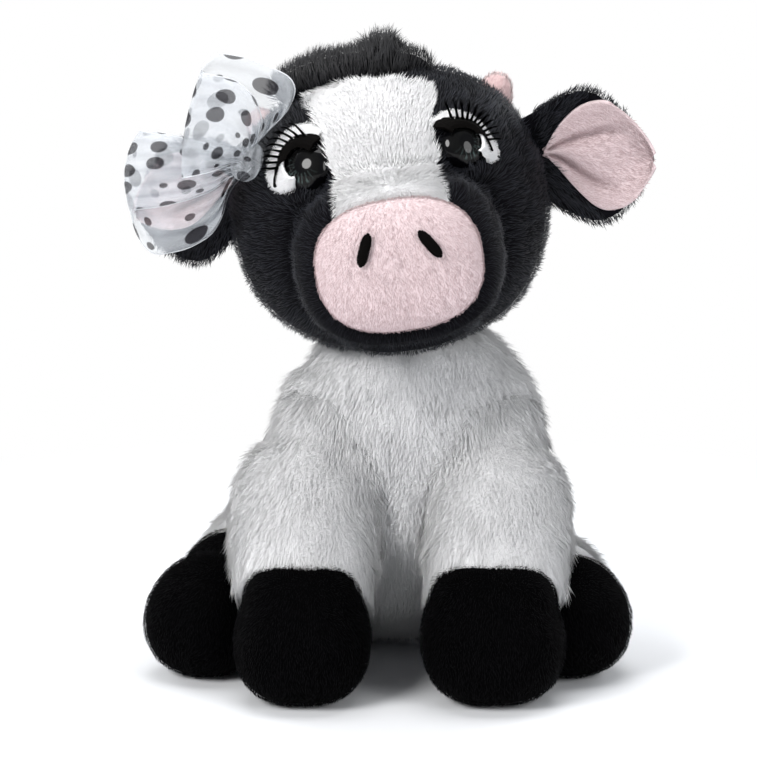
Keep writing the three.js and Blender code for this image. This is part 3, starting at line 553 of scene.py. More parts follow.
# The knitted ground that the pile is locked into: a fine mottled cloth that shows between the fibres.
ground_group, given = new_group(
    "knitted_ground",
    "ShaderNodeTree",
    (
        ("Cloth", "Color", (1, 1, 1, 1)),
        ("Shadow", "Color", (0.5, 0.5, 0.5, 1)),
        ("Grain", "Float", 0.0012),
    ),
    (("Color", "Color"), ("Height", "Float")),
)
spot = node_in(ground_group, "ShaderNodeTexCoord").outputs["Object"]
grain = node_in(
    ground_group, "ShaderNodeTexNoise",
    {"Vector": spot, "Scale": math_in(ground_group, "DIVIDE", 1.0, given["Grain"]), "Detail": 3.0}
)
mottle = mixed_in(ground_group, grain.outputs[0], given["Shadow"], given["Cloth"])
node_in(ground_group, "NodeGroupOutput", {0: mottle, 1: grain.outputs[0]})


def ground_material(name, cloth, shadow, grain=0.0012, roughness=0.9, bump=0.0004, sheen=0.08):
    material, tree = new_material(name)
    knit = node_in(tree, "ShaderNodeGroup", {}, node_tree=ground_group)
    knit.inputs["Cloth"].default_value = (*cloth, 1)
    knit.inputs["Shadow"].default_value = (*shadow, 1)
    knit.inputs["Grain"].default_value = grain
    relief = node_in(
        tree, "ShaderNodeBump", {"Height": knit.outputs["Height"], "Distance": bump, "Strength": 0.8}
    )
    surface_in(tree, {
        "Base Color": knit.outputs["Color"], "Roughness": roughness, "Specular IOR Level": sheen,
        "Normal": relief.outputs[0]
    })
    return material


white_ground = ground_material("white_pile_ground", (0.88, 0.88, 0.89), (0.8, 0.8, 0.81))
white_fibre = fibre_material(
    "white_pile_fibre", (0.9, 0.9, 0.91), (0.96, 0.958, 0.962), (0.93, 0.93, 0.94), 0.85, 0.08, 0.93
)

# the long white pile gathers into broad soft locks
fluffy = {"lock_size": 0.01, "lock_pull": 0.55, "stray": 0.22}
torso_size = np.array([0.118, 0.112, 0.119])
pile_room = 0.0022  # long pile stands this far above its cloth
# shares of the torso's size: height of the ring, width, depth, how far back and how far to the side
torso_rings = [
    (0, 0.6, 0.4, 0.09, 0),
    (0.06, 0.82, 0.56, 0.1, 0.01),
    (0.2, 1, 0.88, 0.072, 0.02),
    (0.42, 1, 0.96, 0.03, 0.04),
    (0.62, 0.93, 0.85, 0.005, 0.08),
    (0.8, 0.81, 0.71, -0.022, 0.145),
    (0.94, 0.7, 0.6, -0.05, 0.185),
    (1, 0.62, 0.5, -0.055, 0.165),
]


def torso_form(inset):
    rings = []
    for up_share, wide, deep, back, aside in torso_rings:
        z = up_share * torso_size[2]
        z = max(z, 0.0006) if up_share < 0.5 else min(z, torso_size[2] - inset)
        centre = (aside * torso_size[0] / 2, back * torso_size[1], z)
        rings.append((centre, wide * torso_size[0] / 2 - inset, deep * torso_size[1] / 2 - inset))
    return ring_form(rings, (1, 0, 0), (0, 1, 0), 2.15)


collar = ball_form((0.008, -0.008, 0.112), (0.0375, 0.0305, 0.021))  # the neck's cloth, up into the head
chest = ball_form((0.007, -0.02, 0.086), (0.041, 0.0235, 0.034))
leg_lines = {
    -1: (np.array([-0.02773, -0.0224, 0.0833]), np.array([-0.03304, -0.0804, 0.025])),
    1: (np.array([0.04012, -0.0224, 0.0833]), np.array([0.03835, -0.0804, 0.025])),
}
front_halves = (0.028, 0.0235)  # half a front leg's width and depth
shoulders = [ball_form((x, -0.013, 0.093), (0.0215, 0.021, 0.0245)) for x in (-0.0205, 0.036)]


def unit(v):
    return np.asarray(v, float) / np.linalg.norm(v)


def leg_forms(side):
    """A front leg's tapering tube, its shoulder ball, and the way it runs."""
    shoulder, hoof = leg_lines[side]
    along = unit(hoof - shoulder)
    across = unit(np.array([1, 0, 0]) - along * along[0])
    reach = np.linalg.norm(hoof - shoulder)
    slack = 0.0026 if side < 0 else 0.0018  # the cover sags outward at its middle
    stout = 0.07 if side < 0 else 0.02
    rings = []
    for share, wide, deep, aside in (
        (0.1, 0.84 + stout, 0.86, 0.8), (0.3, 1 + stout, 0.97, 1), (0.6, 1.03, 1, 0.8), (0.95, 1, 0.95, 0.2)
    ):
        centre = shoulder + along * reach * share + across * side * slack * aside
        rings.append((centre, wide * front_halves[0] - pile_room, deep * front_halves[1] - pile_room))
    tube = ring_form(rings, across, np.cross(along, across), 2.2)
    return [tube, ball_form(shoulder, [0.0195] * 3)], along, reach


def look_up(points, faces):
    """A search tree over a mesh of points and faces, for what lies inside or nearest."""
    return BVHTree.FromPolygons([tuple(p) for p in points], [tuple(f) for f in faces])


def faces_of(made):
    return [tuple(p.vertices) for p in made.data.polygons]


trunk = [torso_form(pile_room), collar, chest, *shoulders]
torso_skin = stuffed_skin("torso_cover", trunk, rounds=34)
whole = stuffed_skin("chest_and_legs", trunk + leg_forms(-1)[0] + leg_forms(1)[0], rounds=44)
whole_tree = look_up(points_of(whole), faces_of(whole))
bpy.data.objects.remove(whole)


def drawn_out(co):
    """Points just under the skin that chest and legs make together, drawn out to it above the armpits."""
    out = co.copy()
    for i, p in enumerate(co):
        if p[2] > 0.06:
            spot, normal, _, far = whole_tree.find_nearest(tuple(p))
            if (spot - Vector(p)).dot(normal) > 0:
                share = (1 - smooth_step(far, 0.003, 0.0075)) * smooth_step(p[2], 0.062, 0.078)
                out[i] += (np.array(spot) - p) * share
    return out


move_points(torso_skin, drawn_out(points_of(torso_skin)))
set_down(torso_skin)
put_on(torso_skin, white_ground)
co, no = points_of(torso_skin), normals_of(torso_skin)
down = ways((co[:, 0] - 0.006) * 5, co[:, 1] * 2, -1)
seat = smooth_step(-no[:, 2], 0.55, 0.8) * smooth_step(-co[:, 2], -0.007, -0.003)
parted_at = 0.008  # the pile in front of this is denser, because it shows most
comb(torso_skin, down, (1 - seat) * (co[:, 1] < parted_at), 1 - 0.4 * seat, 0.46)
torso_pile = grow_pile(
    "torso_pile", torso_skin, white_fibre, 11, spacing=0.00063, length=0.0085, thickness=0.00021, **fluffy
)
comb(torso_skin, down, (1 - seat) * (co[:, 1] >= parted_at), 1 - 0.4 * seat, 0.46)
back_of_torso = grow_pile(
    "torso_pile_back", torso_skin, white_fibre, 12, spacing=0.00086, length=0.0085, thickness=0.0003,
    **fluffy
)
for piece in (torso_skin, torso_pile, back_of_torso):
    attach(piece, "torso")
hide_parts("torso_casing")

# The front legs: stuffed tubes of the same white pile, round at the shoulder and sewn to the chest.
# Each ends in a cuff whose long pile falls over the boot.
def depth_in(tree_of, co):
    """How far each point lies inside a closed skin, negative outside."""
    out = np.empty(len(co))
    for i, p in enumerate(co):
        spot, normal, _, far = tree_of.find_nearest(tuple(p))
        out[i] = -far if (Vector(p) - spot).dot(normal) > 0 else far
    return out


def cut_away(work, at, out):
    """Takes away what lies beyond a plane and gives the points and edges of the cut."""
    everything = work.verts[:] + work.edges[:] + work.faces[:]
    return bmesh.ops.bisect_plane(
        work, geom=everything, plane_co=tuple(at), plane_no=tuple(out), clear_outer=True
    )["geom_cut"]


def cut_off(made, at, along):
    """Cuts away what lies beyond a plane and closes the cut."""
    work = bmesh.new()
    work.from_mesh(made.data)
    rim = [e for e in cut_away(work, at, along) if isinstance(e, bmesh.types.BMEdge)]
    bmesh.ops.contextual_create(work, geom=rim)
    bmesh.ops.triangulate(work, faces=[f for f in work.faces if len(f.verts) > 4])
    work.to_mesh(made.data)
    work.free()


torso_tree = look_up(points_of(torso_skin), faces_of(torso_skin))
leg_trees = []
for side, word in ((-1, "left"), (1, "right")):
    shoulder, hoof = leg_lines[side]
    forms, along, reach = leg_forms(side)
    leg = stuffed_skin(f"front_leg_cover_{word}", forms)
    move_points(leg, drawn_out(points_of(leg)))
    cuff = shoulder + along * reach * 0.8
    cut_off(leg, cuff, along)
    put_on(leg, white_ground)
    co, no = points_of(leg), normals_of(leg)
    buried = depth_in(torso_tree, co)
    down_leg = (co - shoulder) @ along / reach
    way = along * 0.8 + ways((co[:, 0] - hoof[0]) * 16, 0, -0.3)
    hanging = ways((co[:, 0] - 0.006) * 6, -0.3, -1)
    top = (1 - smooth_step(down_leg, 0.05, 0.5))[:, None]
    way = way * (1 - top) + hanging * top
    end_face = (no @ along > 0.8) & (down_leg > 0.78)
    cover = (1 - smooth_step(buried, 0.0014, 0.0034)) * (1 - end_face)
    fringe = smooth_step(down_leg, 0.72, 0.79)
    comb(
        leg, way, cover, 1 - 0.2 * smooth_step(down_leg, 0.55, 0.7) + 0.25 * fringe,
        0.46 - 0.2 * smooth_step(down_leg, 0.6, 0.8)
    )
    leg_trees.append(look_up(co, faces_of(leg)))
    pile = grow_pile(
        f"front_leg_pile_{word}", leg, white_fibre, 21 + side, spacing=0.00056, length=0.0082,
        thickness=0.0002, **fluffy
    )
    for piece in (leg, pile):
        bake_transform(piece)
    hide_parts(f"front_leg_{word}")

# The boots: black short plush, cut narrower at the ankle and full at the toe, and stuffed hard so that the
# legs rest on them. Each is sewn into its leg's cuff, and a seam runs from the ankle down to the toe.
boot_ground = ground_material(
    "black_plush_ground", (0.0008, 0.0008, 0.001), (0.0004, 0.0004, 0.0005), 0.0009, sheen=0.02
)
# the boots' fibres are a little paler at their tips than at their roots, as a faint painted sheen
boot_fibre = fibre_material(
    "black_plush_fibre", (0.0003, 0.0003, 0.0004), (0.011, 0.0105, 0.0125), (0.0003, 0.0003, 0.0004), 0.6,
    0.05, 0.4
)
short_room = 0.0006  # short plush stands this far above its cloth
front_reach = 0.082  # about a front leg's length from shoulder to ankle
hind_length, hind_radius = 0.058, 0.025
boot_nap = {"length": 0.002, "thickness": 0.00022, "lock_pull": 0.7, "lock_size": 0.006, "stray": 0.25}


def about_z(degrees):
    a = math.radians(degrees)
    return np.array([[math.cos(a), -math.sin(a), 0], [math.sin(a), math.cos(a), 0], [0, 0, 1]])


def boot(name, centre, halves, squareness, turned, narrowing, seam, ankle):
    """A plush ball that narrows to the ankle, flat where it stands, with a sunk seam up its front."""
    points, faces = ball_form((0, 0, 0), np.array(halves) - short_room, squareness, columns=72, rows=48)
    high = smooth_step(points[:, 2] / halves[2], -0.1, 1.0)
    points[:, 0] *= 1 - narrowing * high
    points[:, 1] = points[:, 1] * (1 - 0.4 * narrowing * high) + 0.08 * halves[1] * high
    front = smooth_step(-points[:, 1] / halves[1], 0.3, 0.9)
    points[:, 1] += seam * front * ridge(points[:, 0], 0, 0.0016)
    points = points @ turned.T + np.array(centre)
    made = stuffed_skin(name, [(points, faces), ankle], 0.0018, 4)
    set_down(made, 0.0005)
    put_on(made, boot_ground)
    return made


for side, word, spin, wide in ((-1, "left", -3.5, 0.0255), (1, "right", 4.5, 0.0269)):
    shoulder, ankle = leg_lines[side]
    turned = about_z(spin)
    instep_at = ankle + np.array([0, 0.0035, 0.0055])
    instep = ball_form(instep_at, (wide - 0.0035, 0.0235, 0.0205), 3.4, turned)
    hoof = boot(f"front_boot_{word}", ankle, (wide, 0.0279, 0.0258), 2.7, turned, 0.2, 0.0008, instep)
    co = points_of(hoof)
    down_leg = (co - shoulder) @ unit(ankle - shoulder) / front_reach
    inside = smooth_step(down_leg, 0.74, 0.7) + smooth_step(0.0012 - co[:, 2], 0, 0.0006)
    comb(hoof, (0, -0.35, -0.8), 1 - np.clip(inside, 0, 1), 1, 0.6)
    pile = grow_pile(f"front_boot_pile_{word}", hoof, boot_fibre, 31 + side, spacing=0.00058, **boot_nap)
    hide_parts(f"front_hoof_{word}")
    for piece in (hoof, pile):
        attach(piece, f"front_leg_{word}")

# The hind legs: short stuffed haunches of white pile that lie on the table beside the seat, sewn at the hip.
# Each ends in a black foot with its toe turned up and a crease behind the toe.

# degrees turned outward, share of the leg that its cover spans, the ankle ball's place along and up, and
# the crease's place and depth
for side, word, turn, cuff, ankle_out, ankle_up, crease_at, crease_depth in (
    (-1, "left", 27, 0.56, 0.034, -0.0015, 0.0455, 0.0026),
    (1, "right", 25, 0.78, 0.046, -0.007, 0.05, 0.0012),
):
    hip = np.array([side * 0.04484, 0.00392, 0.029155])
    along = np.array([side * math.sin(math.radians(turn)), -math.cos(math.radians(turn)), 0])
    across = np.array([along[1], -along[0], 0])
    upright = np.array([0, 0, 1.0])
    rings = []
    for share, wide in ((0.02, 0.98), (0.4, 1), (0.95, 0.98)):
        half = wide * hind_radius - pile_room
        rings.append((hip + along * hind_length * share - upright * 0.0046 * share, half, half))
    leg = stuffed_skin(
        f"hind_leg_cover_{word}",
        [
            ring_form(rings, across, -upright, 2.1), ball_form(hip, [0.026 - pile_room] * 3),
            ball_form(hip + along * 0.012 + upright * 0.0035, (0.0225, 0.0235, 0.0235))
        ]
    )
    cut_off(leg, hip + along * hind_length * cuff, along)
    set_down(leg)
    put_on(leg, white_ground)
    co, no = points_of(leg), normals_of(leg)
    buried = np.maximum.reduce([depth_in(torso_tree, co)] + [depth_in(t, co) for t in leg_trees])
    down_leg = (co - hip) @ along / hind_length
    end_face = (no @ along > 0.8) & (down_leg > cuff - 0.02)
    seat = smooth_step(-no[:, 2], 0.55, 0.8) * smooth_step(-co[:, 2], -0.02, -0.006)
    way = along * 0.9 + np.array([side * 0.4, 0, -0.3])
    comb(leg, way, (1 - smooth_step(buried, 0.001, 0.004)) * (1 - end_face) * (1 - seat), 1, 0.42)
    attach(leg, f"hind_leg_{word}")
    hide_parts(f"hind_leg_{word}")
    pile = grow_pile(
        f"hind_leg_pile_{word}", leg, white_fibre, 41 + side, spacing=0.0007, length=0.0082,
        thickness=0.00025, **fluffy
    )
    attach(pile, f"hind_leg_{word}")

    centre = hip + along * hind_length
    centre[2] = 0.0225
    ankle = ball_form(hip + along * ankle_out + upright * ankle_up, (0.0222, 0.0222, 0.0228))
    foot = boot(
        f"hind_foot_cover_{word}", centre, (0.0225, 0.0235, 0.0232), 2.4,
        np.stack([across, along * -1, upright], 1), 0.12, 0.0005, ankle
    )
    co, no = points_of(foot), normals_of(foot)
    crease = ridge((co - hip) @ along, crease_at, 0.0028) * smooth_step(co[:, 2], 0.018, 0.036)
    move_points(foot, co - no * (crease * crease_depth)[:, None])
    co = points_of(foot)
    down_leg = (co - hip) @ along / hind_length
    inside = smooth_step(down_leg, cuff - 0.02, cuff - 0.06) + smooth_step(0.0012 - co[:, 2], 0, 0.0006)
    comb(foot, along * 0.5 + np.array([0, 0, -0.6]), 1 - np.clip(inside, 0, 1), 1, 0.6)
    pile = grow_pile(f"hind_foot_pile_{word}", foot, boot_fibre, 51 + side, spacing=0.0006, **boot_nap)
    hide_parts(f"hind_foot_{word}")
    for piece in (foot, pile):
        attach(piece, f"hind_leg_{word}")

# The tail: a thin stuffed cord of the white pile that comes out above the seat and hangs behind it.
# A tuft of long black pile is sewn round its end and rests on the table.
def bent_tube(path, radius, columns=28, rows=28):
    """A round tube along a smooth path, closed at both ends."""
    path = np.array(path)
    t = np.linspace(0, len(path) - 1, rows)
    spine = np.stack([np.interp(t, range(len(path)), path[:, i]) for i in range(3)], 1)
    for _ in range(6):
        spine[1:-1] = (spine[:-2] + 2 * spine[1:-1] + spine[2:]) / 4
    points = []
    for i in range(rows):
        d = unit(spine[min(i + 1, rows - 1)] - spine[max(i - 1, 0)])
        a = unit(np.cross(d, (1, 0, 0)))
        b = np.cross(d, a)
        for j in range(columns):
            w = 2 * math.pi * j / columns
            points.append(spine[i] + radius * (a * math.cos(w) + b * math.sin(w)))
    return np.array(points), tube_faces(rows, columns)


tail_path = [
    (0, 0.055, 0.04046), (0, 0.07, 0.0405), (0, 0.0815, 0.0385), (0, 0.087, 0.025), (0, 0.0905, 0.0095)
]
tail = stuffed_skin(
    "tail_cover", [bent_tube(tail_path, 0.0036), ball_form((0, 0.05824, 0.04046), [0.0055] * 3)], 0.0012, 4
)
set_down(tail)
co = points_of(tail)
put_on(tail, white_ground)
tail_way = np.where(co[:, 1:2] < 0.08, (0, 0.8, -0.3), (0, 0.15, -1.0))
comb(tail, tail_way, smooth_step(co[:, 1], 0.056, 0.06), 1, 0.4)
tail_pile = grow_pile("tail_pile", tail, white_fibre, 61, spacing=0.0005, length=0.0045, thickness=0.00026)
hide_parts("tail")
black_ground = ground_material("black_pile_ground", (0.004, 0.004, 0.006), (0.002, 0.002, 0.003))
# the black pile's fibres pale to blue-grey at their tips as a painted sheen, and their roots are near black
# as painted shade between the fibres
black_fibre = fibre_material(
    "black_pile_fibre", (0.0008, 0.0008, 0.001), (0.043, 0.047, 0.064), (0.0005, 0.0005, 0.0007), 0.55, 0.2,
    0.5
)
tuft = stuffed_skin(
    "tail_tuft_core", [ball_form((0, 0.0965, 0.0075), (0.005, 0.009, 0.0055), columns=32, rows=20)], 0.0012,
    3
)
put_on(tuft, black_ground)
comb(tuft, (0, 1.0, -0.12), 1, 1, 0.25)
tuft_pile = grow_pile(
    "tail_tuft_pile", tuft, black_fibre, 62, spacing=0.0006, length=0.013, thickness=0.0003, lock_size=0.004
)
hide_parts("tail_tuft")
for piece, slot_name in (
    (tail, "white_pile"), (tail_pile, "white_pile"), (tuft, "black_pile"), (tuft_pile, "black_pile")
):
    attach(piece, "tail")

# The head: a big stuffed ball of black pile with a puffed snout sewn on its front, tipped to one side.
# The pile is shorter than the body's and is combed away from the muzzle, over the cheeks and the crown.
def flat_turn(degrees):
    """A turn in the plane that the face looks out of."""
    a = math.radians(degrees)
    return np.array([[math.cos(a), 0, math.sin(a)], [0, 1, 0], [-math.sin(a), 0, math.cos(a)]])


head_turn = flat_turn(-8.7)
head_at = np.array([0.0016, -0.016, 0.176])


def set_on_head(made):
    """Moves a piece made about the head's own centre to its place."""
    move_points(made, points_of(made) @ head_turn.T + head_at)


def turn_with_head(directions):
    return np.asarray(directions, float) @ head_turn.T


head_room = 0.0018  # the head's pile stands this far above its cloth
eye_hole = (0.0085, 0.0095)  # no pile within the first of an eye's middle, full pile from the second
head_halves = np.array([0.0635, 0.052, 0.0548])
snout_at, snout_halves = np.array([0, -0.04576, -0.01258]), np.array([0.0395, 0.034, 0.0352])
snout_points, snout_faces = ball_form(snout_at, snout_halves - head_room, 2.4)
snout_points[:, 1] = np.maximum(snout_points[:, 1], -0.0672)
head_skin = stuffed_skin(
    "head_cover",
    [ball_form((0, 0, 0), head_halves - head_room, 2.25, columns=72, rows=48), (snout_points, snout_faces)],
    0.0022, 6
)
put_on(head_skin, black_ground)

eye_at = {-1: np.array([-0.0287, -0.0410, 0.0262]), 1: np.array([0.0291, -0.0410, 0.0257])}
co, no = points_of(head_skin), normals_of(head_skin)
co[:, 0] -= 0.0036 * smooth_step(co[:, 0], 0.03, 0.06)  # the right cheek is the flatter one
# the cloth swells below each eye and toward the nose, and sinks under the eye itself
for side, at in eye_at.items():
    du, dw = (co[:, 0] - at[0]) * side, co[:, 2] - at[2]
    far = np.hypot(du, dw)
    facing = smooth_step(-no[:, 1], 0.1, 0.5)
    beside = smooth_step(np.abs(co[:, 0]), 0.018, 0.024)
    lid = ridge(far, 0.0125, 0.0035) * facing * beside
    low = smooth_step(-(dw * 0.75 + du * 0.65) / np.maximum(far, 1e-6), -0.2, 0.7)
    co += no * (lid * low * 0.004)[:, None]
    co -= no * (ridge(far, 0, 0.0085) * facing * 0.0016)[:, None]
# the snout is sewn on, so a groove runs round it behind its puffed rim
pad_at, pad_halves = np.array([0, -0.07306, -0.00918]), np.array([0.031, 0.0125, 0.0245])


def round_pad(p):
    """How far out from the pad's middle, seen from the front: 1 at its edge."""
    aside, up = np.abs((p - pad_at) / pad_halves)[:, [0, 2]].T
    return (aside**2.5 + up**2.5) ** 0.4


rim = round_pad(co)
ahead = smooth_step(-co[:, 1], 0.03, 0.045)
ahead = ahead * np.maximum(
    smooth_step(np.abs(co[:, 0]), 0.018, 0.024), smooth_step(-co[:, 2], -0.006, 0.002)
)
puffed = ridge(rim, 1.14, 0.1) * 0.0016 - ridge(rim, 1.33, 0.07) * 0.003
co += no * (puffed * ahead)[:, None]
# the blaze puffs out over the pad's top edge
middle = 1 - smooth_step(np.abs(co[:, 0]), 0.013, 0.023)
over_pad = ridge(co[:, 2], 0.0155, 0.0042) * middle * smooth_step(-co[:, 1], 0.04, 0.055)
co += no * (over_pad * 0.0022)[:, None]
move_points(head_skin, co)
co, no = points_of(head_skin), normals_of(head_skin)
head_tree = look_up(co, faces_of(head_skin))
muzzle = np.array([0, -0.066, -0.009])
away = co - muzzle
away /= np.linalg.norm(away, axis=1)[:, None]
way = away + np.array([0, 0.35, 0]) + np.array([0, 0, -0.25]) * smooth_step(-co[:, 2], -0.005, 0.04)[:, None]
lashed = 0 * co[:, 0]
for side, at in eye_at.items():
    du, dw = co[:, 0] - at[0], co[:, 2] - at[2]
    far = np.hypot(du, dw)
    below = smooth_step(-(dw * 0.75 + du * side * 0.65) / far, -0.15, 0.4)
    near = ridge(far, 0.0105, 0.006) * smooth_step(-no[:, 1], 0.1, 0.5) * below
    lashed += near
    toward = ways(-du / far, -0.1, -dw / far)
    way = way * (1 - near)[:, None] + toward * near[:, None]


# the blaze's two edges, mm from the head's middle line at these heights
blaze_up = np.array([6, 10, 15, 19, 24, 29, 36, 42, 48, 53]) / 1000
blaze_left = np.array([-21.5, -21.0, -19.4, -17.8, -20.0, -21.4, -20.8, -23.8, -26, -26.9]) / 1000
blaze_right = np.array([20.5, 20.8, 20.4, 17.0, 20.2, 18.6, 18.6, 21.4, 21.6, 18.5]) / 1000


def in_blaze(p):
    """How far each point lies inside the blaze's outline, negative outside."""
    left = p[:, 0] - np.interp(p[:, 2], blaze_up, blaze_left)
    right = np.interp(p[:, 2], blaze_up, blaze_right) - p[:, 0]
    front = -0.0115 - 0.37 * np.maximum(p[:, 0] + 0.01, 0) - p[:, 1]
    return np.minimum(np.minimum(left, right), np.minimum(p[:, 2] - 0.006, front))


pad_far = round_pad(co)
under_pad = (1 - smooth_step(pad_far, 0.88, 0.95)) * (co[:, 1] < -0.055)
cover = (1 - smooth_step(in_blaze(co), -0.0004, 0.001)) * (1 - under_pad)
for at in eye_at.values():
    far = np.hypot(co[:, 0] - at[0], co[:, 2] - at[2]) + 0.0014 * np.clip(lashed, 0, 1)
    cover *= 1 - (1 - smooth_step(far, *eye_hole)) * (co[:, 1] < -0.02)
length = 0.72 + 0.28 * smooth_step(co[:, 1], -0.03, 0.02)
length = length * (1 - 0.25 * ridge(pad_far, 1.05, 0.2) * (co[:, 1] < -0.05)) + 0.3 * np.clip(lashed, 0, 1)
horn_feet = np.exp(-(((np.abs(co[:, 0]) - 0.0405) / 0.008) ** 2 + ((co[:, 2] - 0.0335) / 0.008) ** 2))
length = length + 0.5 * horn_feet * (co[:, 1] < 0.008)  # longer in front of the horns' feet
way, parted_at = turn_with_head(way), 0.004
comb(head_skin, way, cover * (co[:, 1] < parted_at), length, 0.45)
set_on_head(head_skin)
face_pile = grow_pile(
    "head_pile_face", head_skin, black_fibre, 71, spacing=0.00062, length=0.0058, thickness=0.00024,
    lock_size=0.0065, lock_pull=1.1, stray=0.25
)
comb(head_skin, way, cover * (co[:, 1] >= parted_at), length, 0.45)
back_pile = grow_pile(
    "head_pile_back", head_skin, black_fibre, 72, spacing=0.0008, length=0.0056, thickness=0.00028,
    lock_size=0.007, lock_pull=0.4, stray=0.22
)
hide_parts("head_casing")
for piece in (head_skin, face_pile, back_pile):
    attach(piece, "head")

# The blaze: a white pile panel let into the front of the head, from the crown down to the muzzle pad.
# Its pile is brushed up and outwards, so its edges fluff over the black.
def shade_smooth(made):
    made.data.polygons.foreach_set("use_smooth", [True] * len(made.data.polygons))


def walled(sheet, thickness, offset=-1):
    """A sheet made as thick as its cloth, behind its face or, at offset 0, to both sides."""
    wall = sheet.modifiers.new("wall", "SOLIDIFY")
    wall.thickness, wall.offset = thickness, offset
    return settled(sheet)


def head_panel(name, cuts, keep, lift, thickness):
    """The head's skin inside some planes, lifted off it: the outer sheet and the closed panel."""
    work = bmesh.new()
    local = (points_of(head_skin) - head_at) @ head_turn
    mesh = plain_mesh(name + "_sheet", local, faces_of(head_skin))
    work.from_mesh(mesh.data)
    for at, out in cuts:
        cut_away(work, at, out)
    bmesh.ops.subdivide_edges(work, edges=work.edges[:], cuts=1, use_grid_fill=True)
    away = [v for v, far in zip(work.verts, keep(np.array([v.co[:] for v in work.verts]))) if far < 0]
    bmesh.ops.delete(work, geom=away, context="VERTS")
    work.normal_update()
    for v in work.verts:
        v.co += v.normal * lift
    work.to_mesh(mesh.data)
    work.free()
    shade_smooth(mesh)
    return mesh, walled(copy_of(mesh, name), thickness)


blaze_cuts = (
    ((-0.0216, 0, 0.012), (-1, 0, -0.12)),
    ((0.022, 0, 0.02), (1, 0, 0.05)),
    ((0, 0, 0.006), (0, 0, -1)),
    ((0, 0.0015, 0), (0, 1, 0)),
)
sheet, blaze = head_panel("forehead_panel", blaze_cuts, lambda p: in_blaze(p) + 0.0006, 0.0005, 0.0012)
put_on(blaze, white_ground)
co, no = points_of(sheet), normals_of(sheet)
rise = ways(co[:, 0] * 22, 0, 0.7 - 1.5 * smooth_step(-co[:, 2], -0.024, -0.014)) + no * 0.2
eyes_over = 1 + 0 * co[:, 0]
for at in eye_at.values():
    eyes_over *= smooth_step(np.hypot(co[:, 0] - at[0], co[:, 2] - at[2]), *eye_hole)
comb(
    sheet, turn_with_head(rise), eyes_over * smooth_step(in_blaze(co), -0.0008, 0.0004),
    1 - 0.15 * smooth_step(-co[:, 2], -0.026, -0.012), 0.52
)
set_on_head(sheet)
set_on_head(blaze)
blaze_pile = grow_pile(
    "forehead_pile", sheet, white_fibre, 73, spacing=0.00036, length=0.0043, thickness=0.00021,
    lock_size=0.008, lock_pull=0.22, bend=0.3, stray=0.14
)
bpy.data.objects.remove(sheet)
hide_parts("forehead_blaze")
for piece in (blaze, blaze_pile):
    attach(piece, "head")

# The muzzle pad: a cushion of short pink plush, domed over its stuffing and sewn to the snout round its edge.
# Two halves meet in a seam below the nostrils, and its nap is rubbed into faint slanting streaks.
pink_ground = ground_material("pink_plush_ground", (0.75, 0.63, 0.645), (0.7, 0.55, 0.565), 0.0007)
pink_fibre = fibre_material(
    "pink_plush_fibre", (0.5, 0.335, 0.345), (0.765, 0.625, 0.637), (0.54, 0.375, 0.387), 0.8, 0.15, 0.6
)
points, faces = ball_form(pad_at, pad_halves - np.array([0.0006, 0.001, 0.0006]), 2.5, columns=96, rows=64)
dome = np.sqrt(np.maximum(1 - round_pad(points) ** 2.1, 0)) * pad_halves[1]
points[:, 1] = np.where(points[:, 1] < pad_at[1], pad_at[1] - 0.001 - 0.92 * dome, points[:, 1])
front = smooth_step(-(points[:, 1] - pad_at[1]) / pad_halves[1], 0.1, 0.6)
seam = ridge(points[:, 0], 0.0012, 0.0009) * smooth_step(-points[:, 2], -0.001, 0.004)
points[:, 1] += 0.0016 * seam * front
dip = ridge(points[:, 0], 0, 0.008) * smooth_step(points[:, 2], -0.004, 0.012)
points[:, 1] += 0.0006 * dip * front
pad = stuffed_skin("muzzle_cushion", [(points, faces)], 0.0013, 1)
put_on(pad, pink_ground)
co = points_of(pad)
pad_tree = look_up(co, faces_of(pad))
way = ways(co[:, 0] * 14, 0, -0.75 + 8 * (co[:, 2] + 0.009))
comb(
    pad, turn_with_head(way), smooth_step(-co[:, 1], 0.060, 0.0615), 1,
    0.5 - 0.12 * smooth_step(-co[:, 2], 0.008, 0.022)
)
set_on_head(pad)
pad_pile = grow_pile(
    "muzzle_pile", pad, pink_fibre, 74, spacing=0.00058, length=0.0017, thickness=0.00024, lock_size=0.0028,
    lock_pull=0.5
)
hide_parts("muzzle_pad")
for piece in (pad, pad_pile):
    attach(piece, "head")

# The nostrils: two slanting ovals of dark satin stitch, sewn through the pad with thick thread.
# Every stitch crosses the oval from side to side and lies close against the next.
stitch_tree, given = new_group(
    "satin_stitch",
    "GeometryNodeTree",
    (
        ("Geometry", "Geometry"),
        ("Half Width", "Float", 0.0023),
        ("Half Height", "Float", 0.0061),
        ("Stitches", "Int", 22),
        ("Crown", "Float", 0.0012),
        ("Thread Width", "Float", 0.0008),
        ("Thread", "Material"),
    ),
    [("Stitching", "Geometry")],
)
stitch_tree.is_modifier = True
span = math_in(stitch_tree, "MULTIPLY", given["Half Height"], 1.94)
gap = math_in(stitch_tree, "DIVIDE", span, math_in(stitch_tree, "SUBTRACT", given["Stitches"], 1.0))
low_end = node_in(stitch_tree, "ShaderNodeCombineXYZ", {2: math_in(stitch_tree, "MULTIPLY", span, -0.5)})
step = node_in(stitch_tree, "ShaderNodeCombineXYZ", {2: gap})
line = node_in(
    stitch_tree, "GeometryNodeMeshLine",
    {"Count": given["Stitches"], "Start Location": low_end.outputs[0], "Offset": step.outputs[0]}
)
here = node_in(stitch_tree, "GeometryNodeInputPosition").outputs[0]
_, _, z = node_in(stitch_tree, "ShaderNodeSeparateXYZ", {0: here}).outputs
part = math_in(stitch_tree, "DIVIDE", z, given["Half Height"])
wide = math_in(
    stitch_tree, "SQRT",
    math_in(
        stitch_tree, "SUBTRACT", 1.0,
        math_in(stitch_tree, "POWER", math_in(stitch_tree, "ABSOLUTE", part), 3.4)
    )
)
